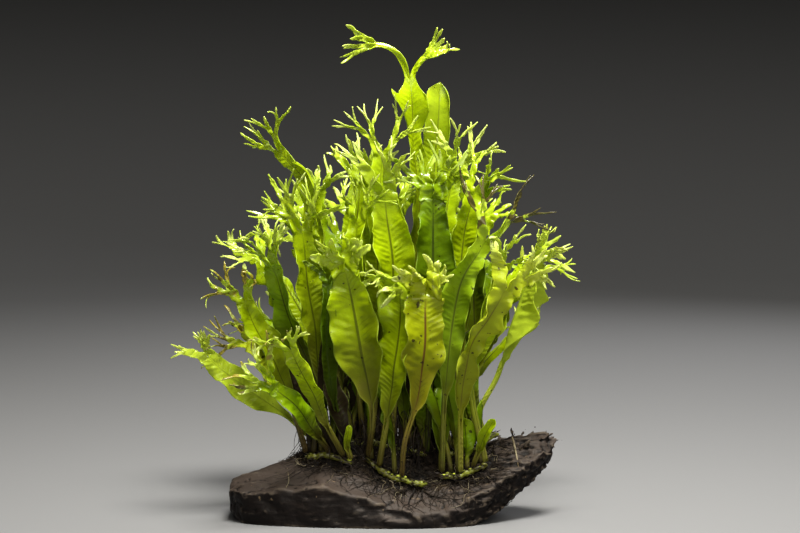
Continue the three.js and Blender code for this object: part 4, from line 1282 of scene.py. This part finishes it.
def line_headings(points, count):
    """Headings at even steps along a line, with its upper face up."""
    places, length = spaced_points(points, [i / count for i in range(count + 1)])
    headings = []
    for i, place in enumerate(places):
        along = (places[min(count, i + 1)] - places[max(0, i - 1)]).normalized()
        side = along.cross(UP).normalized()
        headings.append(Heading(place, along, side, side.cross(along)))
    return headings, length


def rolled_grid(name, columns, rows, place):
    """A closed tube: place(turn, row) gives each point, and the ends are drawn to a point."""
    tube, column, row = add_grid(name, columns, rows)
    spots = [place(2 * math.pi * c / columns, int(r)) for c, r in zip(column % columns, row)]
    tube.data.vertices.foreach_set("co", np.array(spots).ravel())
    merge_doubles(1e-7, outward=True)
    return tube


def add_ball(centre, radii):
    deselect_all()
    bpy.ops.mesh.primitive_ico_sphere_add(subdivisions=2, radius=1, location=centre, scale=radii)
    return settled()


def rhizome_stem(name, headings, length, seed):
    knobs = length / KNOB_STEP

    def place(turn, row):
        share = row / RHIZOME_ROWS
        end = math.sqrt(max(0, 1 - abs(2 * share - 1) ** 8))
        swell = 1 - 0.2 * (0.5 + 0.5 * math.cos(share * knobs * 2 * math.pi))
        lump = rough(*ring(turn, 1.1), share * knobs * 1.4 + seed * 9)
        bulk = 0.72 + 0.3 * rough(share * length / BULK_STEP, seed * 3.3, 0.5)
        return headings[row].point(*ring(turn, RHIZOME_RADIUS * (swell * bulk + 0.24 * lump) * end))

    stem = rolled_grid(name, RHIZOME_AROUND, RHIZOME_ROWS, place)
    paint(stem, 0.4)
    return stem


def rhizome_bud(now, pick):
    centre = now.point(*ring(math.radians(between(30, 150, pick + 0.3)), RHIZOME_RADIUS * BUD_SINK))
    size = between(*BUD_SIZES, pick + 0.6)
    bud = add_ball(centre, [size * share for share in BUD_FORM])
    paint(bud, between(0.45, 0.95, pick + 0.9))
    return bud


def rhizome_scale(now, pick):
    """A dark pointed scale that lies along the stem."""
    turn = math.radians(between(-40, 220, pick + 0.3))
    foot = now.point(*ring(turn, RHIZOME_RADIUS * SCALE_SINK))
    ahead = between(*SCALE_REACHES, pick + 0.6) * (1 if chance(pick + 0.7) > 0.5 else -1)
    out, up = ring(turn, between(*SCALE_LIFTS, pick + 0.8))
    tip = foot + now.along * ahead + now.side * out + now.facing * up
    scale = add_cone(foot / MM, tip / MM, SCALE_RADIUS, 4)
    paint(scale, 0)
    return scale


def build_rhizome(name, seed):
    headings, length = line_headings(rhizome_lines[name], RHIZOME_ROWS)
    pieces = [rhizome_stem(name + "_stem", headings, length, seed)]
    buds = length / BUD_STEP
    for k in range(int(buds)):
        pick = seed * 40 + k
        if chance(pick + 0.15) <= BUD_SHARES.get(name, 0.5):
            row = int(lerp(2, RHIZOME_ROWS - 2, (k + chance(pick)) / buds))
            pieces.append(rhizome_bud(headings[row], pick))
    for k in range(SCALES_PER_RHIZOME):
        pick = seed * 300 + k
        pieces.append(rhizome_scale(headings[int(between(1, RHIZOME_ROWS - 1, pick))], pick))
    stem = join(pieces, name + "_stem")
    shade_smooth(stem)
    stem.data.materials.append(rhizome_material)
    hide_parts(name)
    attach(stem, "root")


def rhizome_finish():
    stem = Finish("rhizome")
    place = stem.place()
    mottle = stem.noise(place, 350, 4)
    fine = stem.noise(place, 1500, 3)
    patches = stem.noise(place, 120, 3)
    base = stem.colours((stem.trait("tone") + (mottle - 0.5) * 0.35 + (patches - 0.5) * 0.9).clamped(), [
        (0.0, (0.02, 0.011, 0.006)), (0.15, (0.05, 0.042, 0.01)), (0.35, (0.10, 0.10, 0.009)),
        (0.65, (0.27, 0.31, 0.012)), (1.0, (0.60, 0.68, 0.06)),
    ])
    base = stem.mix(fine.ramp(0.62, 0.7) * 0.6, base, (0.02, 0.012, 0.006))
    ripple = stem.bump(mottle + fine * 0.5, 0.4, 0.0003)
    return stem.surface(stem.skin(base, fine * 0.3 + 0.3, 0.5, ripple))


rhizome_material = rhizome_finish()
for seed, name in enumerate(RHIZOMES):
    build_rhizome(name, seed)


# Root mats: dark mounds under a felt of fine roots, some of which run on over the wood

# Each mound's middle and half its length and depth, in millimetres
MATS = {
    "root_mat_left": ((-25, -4), (12, 7)),
    "root_mat_middle": ((3, -9), (12, 9.5)),
    "root_mat_right": ((32, -8), (11, 7)),
    "root_mat_back": ((0, 12), (21, 7.5)),
}
ROOTS_PER_MAT = 240
MAT_ROOT_STEPS = 13
MAT_SWAY = math.radians(32)
RUNNER_SWAY = math.radians(26)
RUNNER_FALL = 0.12
ROOT_LIFT = 0.12 * MM
LEAST_ROOT_HEIGHT = 0.5 * MM
ROOT_TAPER = 0.6
# How many roots creep out from each rhizome
RUNNERS = {
    "rhizome_front": 110, "rhizome_left": 50, "rhizome_right": 130, "rhizome_ridge": 70, "rhizome_far": 90,
    "rhizome_back": 90,
}
# A root's tone is dark, brown or, in a few, pale. With each is the least pick that it goes with.
ROOT_TONES = [(0.3, 0.0), (0.55, 0.55), (0.95, 0.93)]


def surface_tree(pieces):
    """One search tree over the faces of several pieces."""
    corners = []
    faces = []
    for piece in pieces:
        base = len(corners)
        corners += [v.co.copy() for v in piece.data.vertices]
        faces += [[base + i for i in p.vertices] for p in piece.data.polygons]
    return BVHTree.FromPolygons(corners, faces)


def below(tree, place):
    """Where a ray straight down meets the tree's faces, if it does."""
    return tree.ray_cast(place, -UP)[0]


def creeping_root(tree, start, heading, steps, stride, sway, loop, fall, seed):
    """A root's points: it keeps to the surface, wanders, rises in one low loop and is drawn downhill."""
    line = []
    place = start
    for step in range(steps):
        near, normal = tree.find_nearest(place)[:2]
        if near is None or near.z < LEAST_ROOT_HEIGHT:
            break
        heading = heading - normal * heading.dot(normal)
        if heading.length < 0.01:
            break
        turn = Quaternion(normal, between(-sway, sway, seed + step * 0.137))
        heading = turn @ heading.normalized()
        line.append(near + normal * (ROOT_LIFT + loop * math.sin(math.pi * step / steps)))
        place = near + heading * stride
        heading = heading - UP * fall
    return line


def toned_roots(name, lines):
    """Tubes along the lines, as one mesh for each tone."""
    pieces = []
    ends = [first for _, first in ROOT_TONES[1:]] + [2]
    for (tone, first), last in zip(ROOT_TONES, ends):
        chosen = [(line, radius) for line, radius, pick in lines if first <= pick < last]
        if chosen:
            pieces.append(tube_mesh(name, chosen))
            paint(pieces[-1], tone)
    return pieces


def mat_roots(tree, centre, half, seed):
    lines = []
    for k in range(ROOTS_PER_MAT):
        pick = seed * 1000 + k
        far = math.sqrt(chance(pick + 0.2)) * 1.05
        across, deep = ring(2 * math.pi * chance(pick), far)
        start = Vector((centre[0] + half[0] * across, centre[1] + half[1] * deep, 0)) * MM
        hit = below(tree, start + UP * ABOVE_LOG)
        if hit is None:
            continue
        heading = level_way(2 * math.pi * chance(pick + 0.4))
        stride = between(0.6, 1.3, pick + 0.5) * MM
        loop = lerp(0.1, 1.6, chance(pick + 0.6) ** 2) * MM
        line = creeping_root(tree, hit, heading, MAT_ROOT_STEPS, stride, MAT_SWAY, loop, 0, pick)
        if len(line) > 3:
            lines.append((line, lerp(0.09, 0.2, chance(pick + 0.9) ** 2) * MM, chance(pick + 0.8)))
    return lines


def runner_roots(tree, name, seed):
    """Roots that leave a rhizome sideways and run down over the wood."""
    stem = rhizome_lines[name]
    lines = []
    for k in range(RUNNERS[name]):
        pick = 7000 + seed * 1000 + k
        share = chance(pick) * (len(stem) - 1)
        i = min(len(stem) - 2, int(share))
        along = (stem[i + 1] - stem[i]).normalized()
        side = along.cross(UP) * (1 if chance(pick + 0.1) < 0.7 else -1)
        start = stem[i].lerp(stem[i + 1], share - i) + side * RHIZOME_RADIUS - UP * (RHIZOME_RADIUS * 0.7)
        heading = side + along * between(-0.8, 0.8, pick + 0.2)
        steps = int(lerp(9, 26, chance(pick + 0.3) ** 1.5))
        stride = between(0.7, 1.2, pick + 0.4) * MM
        loop = 1.2 * chance(pick + 0.5) ** 3 * MM
        line = creeping_root(tree, start, heading, steps, stride, RUNNER_SWAY, loop, RUNNER_FALL, pick)
        if len(line) > 4:
            lines.append((line, lerp(0.1, 0.26, chance(pick + 0.6) ** 2) * MM, chance(pick + 0.7)))
    return lines


def tube_mesh(name, lines):
    """One mesh of tapering four-sided tubes along lines of points, each with its radius."""
    curve = bpy.data.curves.new(name, "CURVE")
    curve.dimensions = "3D"
    curve.bevel_depth = 1
    curve.bevel_resolution = 0
    curve.use_fill_caps = True
    for line, radius in lines:
        spline = curve.splines.new("POLY")
        spline.points.add(len(line) - 1)
        for i, (point, place) in enumerate(zip(spline.points, line)):
            point.co = (*place, 1)
            point.radius = radius * (1 - ROOT_TAPER * i / len(line))
    make_active(add_object(name, curve))
    bpy.ops.object.convert(target="MESH")
    return bpy.context.object


def build_mat(name, seed):
    mound = merged_copy(name, name + "_roots")
    subdivision = mound.modifiers.new("finer", "SUBSURF")
    subdivision.subdivision_type = "SIMPLE"
    subdivision.levels = subdivision.render_levels = 2
    apply_modifiers(mound)
    mesh = mound.data
    co = read(mesh.vertices, "co")
    places = [Vector(p) for p in co / MM]
    rise = [0.5 * rough(*(p * 0.7)) + 0.25 * rough(*(p * 2.1)) - 0.2 for p in places]
    reshape(mesh, co + read(mesh.vertex_normals, "vector") * np.array(rise)[:, None] * MM)
    paint(mound, 0.1)
    roots = mat_roots(surface_tree([driftwood, mound]), *MATS[name], seed)
    mound = join([mound] + toned_roots(name + "_felt", roots), name + "_roots")
    shade_smooth(mound)
    mound.data.materials.append(root_material)
    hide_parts(name)
    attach(mound, "root")
    return mound


def root_finish():
    felt = Finish("roots")
    place = felt.place()
    patches = felt.noise(place, 160, 4)
    fine = felt.noise(place, 1800, 3)
    base = felt.colours((felt.trait("tone") + (patches - 0.5) * 0.7).clamped(), [
        (0.0, (0.003, 0.0022, 0.0016)), (0.3, (0.007, 0.0045, 0.003)), (0.6, (0.022, 0.014, 0.007)),
        (0.85, (0.09, 0.062, 0.03)), (1.0, (0.26, 0.22, 0.14)),
    ])
    return felt.surface(felt.skin(base, fine * 0.3 + 0.55, 0.2, felt.bump(fine, 0.5, 0.0003)))


root_material = root_finish()
mats = [build_mat(name, i + 1) for i, name in enumerate(MATS)]


# Fibres among the stalks: how many, where they stand, how high they arch and how far they reach
TANGLE = 420
TANGLE_SPAN = ((-30, 30), (-7, 14))
TANGLE_HEIGHTS = (5, 20)
TANGLE_REACHES = (3, 14)


def tangle_roots(tree):
    """Fibres that arch up among the stalks and come down again."""
    (left, right), (near, far) = TANGLE_SPAN
    lines = []
    for k in range(TANGLE):
        pick = 31000 + k
        start = Vector((between(left, right, pick), between(near, far, pick + 0.1), ABOVE_LOG / MM)) * MM
        way = level_way(2 * math.pi * chance(pick + 0.2))
        end = start + way * (between(*TANGLE_REACHES, pick + 0.3) * MM)
        feet = [below(tree, start), below(tree, end)]
        if None in feet:
            continue
        middle = (feet[0] + feet[1]) / 2 + UP * (lerp(*TANGLE_HEIGHTS, chance(pick + 0.4) ** 2) * MM)
        side = UP.cross(way) * between(-5, 5, pick + 0.5) * MM
        rising, falling = feet[0].lerp(middle, 0.6) + side, middle.lerp(feet[1], 0.5) - side
        points = [feet[0], rising, middle, falling, feet[1]]
        line = [curve_point(points, i / 14) for i in range(15)]
        lines.append((line, between(0.12, 0.3, pick + 0.6) * MM, chance(pick + 0.7) * 0.94))
    return lines


# Single roots: places in front of the wood, each drawn back to the surface, and the radius and the tone
LOOSE_ROOTS = [
    ([(-13.6, 30.4), (-11.4, 28.6), (-9.4, 26.2), (-8.2, 23.2)], 0.16, 1.0),
    ([(49.2, 31.5), (49.8, 29.5), (50.6, 25.0), (51.6, 19.0)], 0.55, 0.97),
    ([(36.5, 27.0), (38.0, 25.5), (37.6, 23.0), (38.4, 21.0)], 0.24, 1.0),
    ([(-41.0, 20.5), (-40.0, 17.0), (-41.5, 14.0)], 0.2, 0.97),
    ([(12.0, 17.0), (15.5, 15.5), (19.0, 16.0), (21.5, 13.5)], 0.22, 0.97),
]
# The wood behind a place is looked for from the front, or if none is met, around a point near the wood, both
# in millimetres. A single root stands off the wood by its lift, and its ends drop back on it.
BEFORE_WOOD = -60
NEAR_WOOD = -8
LOOSE_LIFT = 0.6 * MM
LOOSE_DROP = 0.8 * MM


def loose_roots(tree):
    lines = []
    for places, radius, tone in LOOSE_ROOTS:
        points = []
        for x, z in places:
            hit = tree.ray_cast(Vector((x, BEFORE_WOOD, z)) * MM, Vector((0, 1, 0)))[0]
            hit = hit or tree.find_nearest(Vector((x, NEAR_WOOD, z)) * MM)[0]
            points.append(hit - Vector((0, LOOSE_LIFT, 0)))
        for end in (points[0], points[-1]):
            end.y += LOOSE_DROP
        lines.append(([curve_point(points, i / 12) for i in range(13)], radius * MM, tone))
    return lines


def build_runners():
    tree = surface_tree([driftwood] + mats)
    lines = loose_roots(tree)
    for seed, name in enumerate(RHIZOMES):
        lines += runner_roots(tree, name, seed)
    runners = join(toned_roots("creeping_roots", lines + tangle_roots(tree)), "creeping_roots")
    shade_smooth(runners)
    runners.data.materials.append(root_material)
    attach(runners, "root")


build_runners()


# Camera, lights and floor


def aimed(obj, place):
    obj.location = place
    obj.rotation_euler = (CENTRE - Vector(place)).to_track_quat("-Z", "Y").to_euler()


def add_camera():
    data = bpy.data.cameras.new("camera")
    data.lens = LENS
    data.clip_start = 0.01
    camera = add_object("camera", data)
    aimed(camera, CENTRE + VIEW_DISTANCE * Vector((0, -math.cos(VIEW_HEIGHT), math.sin(VIEW_HEIGHT))))
    bpy.context.scene.camera = camera


def add_light(name, place, size, power, colour=(1, 1, 1)):
    data = bpy.data.lights.new(name, "AREA")
    data.shape = "RECTANGLE"
    data.size, data.size_y = size
    data.energy = power
    data.color = colour
    aimed(add_object(name, data), place)


# The floor is flat this far out. Its wall curves up on a radius of one metre and goes on this far.
FLOOR_REACH = 0.9
SWEEP_REACH = 3.6
SWEEP_GRID = (96, 32)
WALL_DARK_FROM = 0.42


def add_backdrop():
    """A pale round floor that sweeps up into a dark wall far away on all sides."""
    sweep, _, _ = add_grid("backdrop", *SWEEP_GRID)
    places = read(sweep.data.vertices, "co")
    for p in places:
        spin = 2 * math.pi * (p[0] + 0.5)
        far = SWEEP_REACH * (p[1] + 0.5)
        turn = min(max(0, far - FLOOR_REACH), math.pi / 2)
        wall = max(0, far - FLOOR_REACH - math.pi / 2)
        p[:] = (*ring(spin, min(far, FLOOR_REACH) + math.sin(turn)), 1 - math.cos(turn) + wall)
    sweep.data.vertices.foreach_set("co", places.ravel())
    merge_doubles(1e-5)
    shade_smooth(sweep)
    plain = Finish("backdrop")
    height = plain.node("ShaderNodeSeparateXYZ", {}, {"Vector": plain.place()}).value(2)
    grey = plain.colours(height.ramp(0, WALL_DARK_FROM), [
        (0.0, (0.16, 0.16, 0.166)), (1.0, (0.004, 0.004, 0.0045)),
    ])
    shader = plain.node("ShaderNodeBsdfPrincipled", {}, {"Base Color": grey, "Roughness": 0.85})
    sweep.data.materials.append(plain.surface(shader.value()))


def add_world():
    world = bpy.data.worlds.new("studio")
    bpy.context.scene.world = world
    world.use_nodes = True
    background = world.node_tree.nodes["Background"]
    background.inputs["Color"].default_value = (1, 0.97, 0.88, 1)
    background.inputs["Strength"].default_value = 0.07


add_camera()
add_light("lamp", (0.08, -0.2, 0.64), (0.24, 0.2), 12.8, (1, 0.98, 0.9))
add_light("front", (0.05, -0.85, 0.4), (0.5, 0.4), 3.2, (1, 0.97, 0.86))
add_light("back", (0.3, 0.6, 0.45), (0.6, 0.4), 2.0)
add_backdrop()
add_world()
bpy.context.scene.view_settings.view_transform = "Standard"
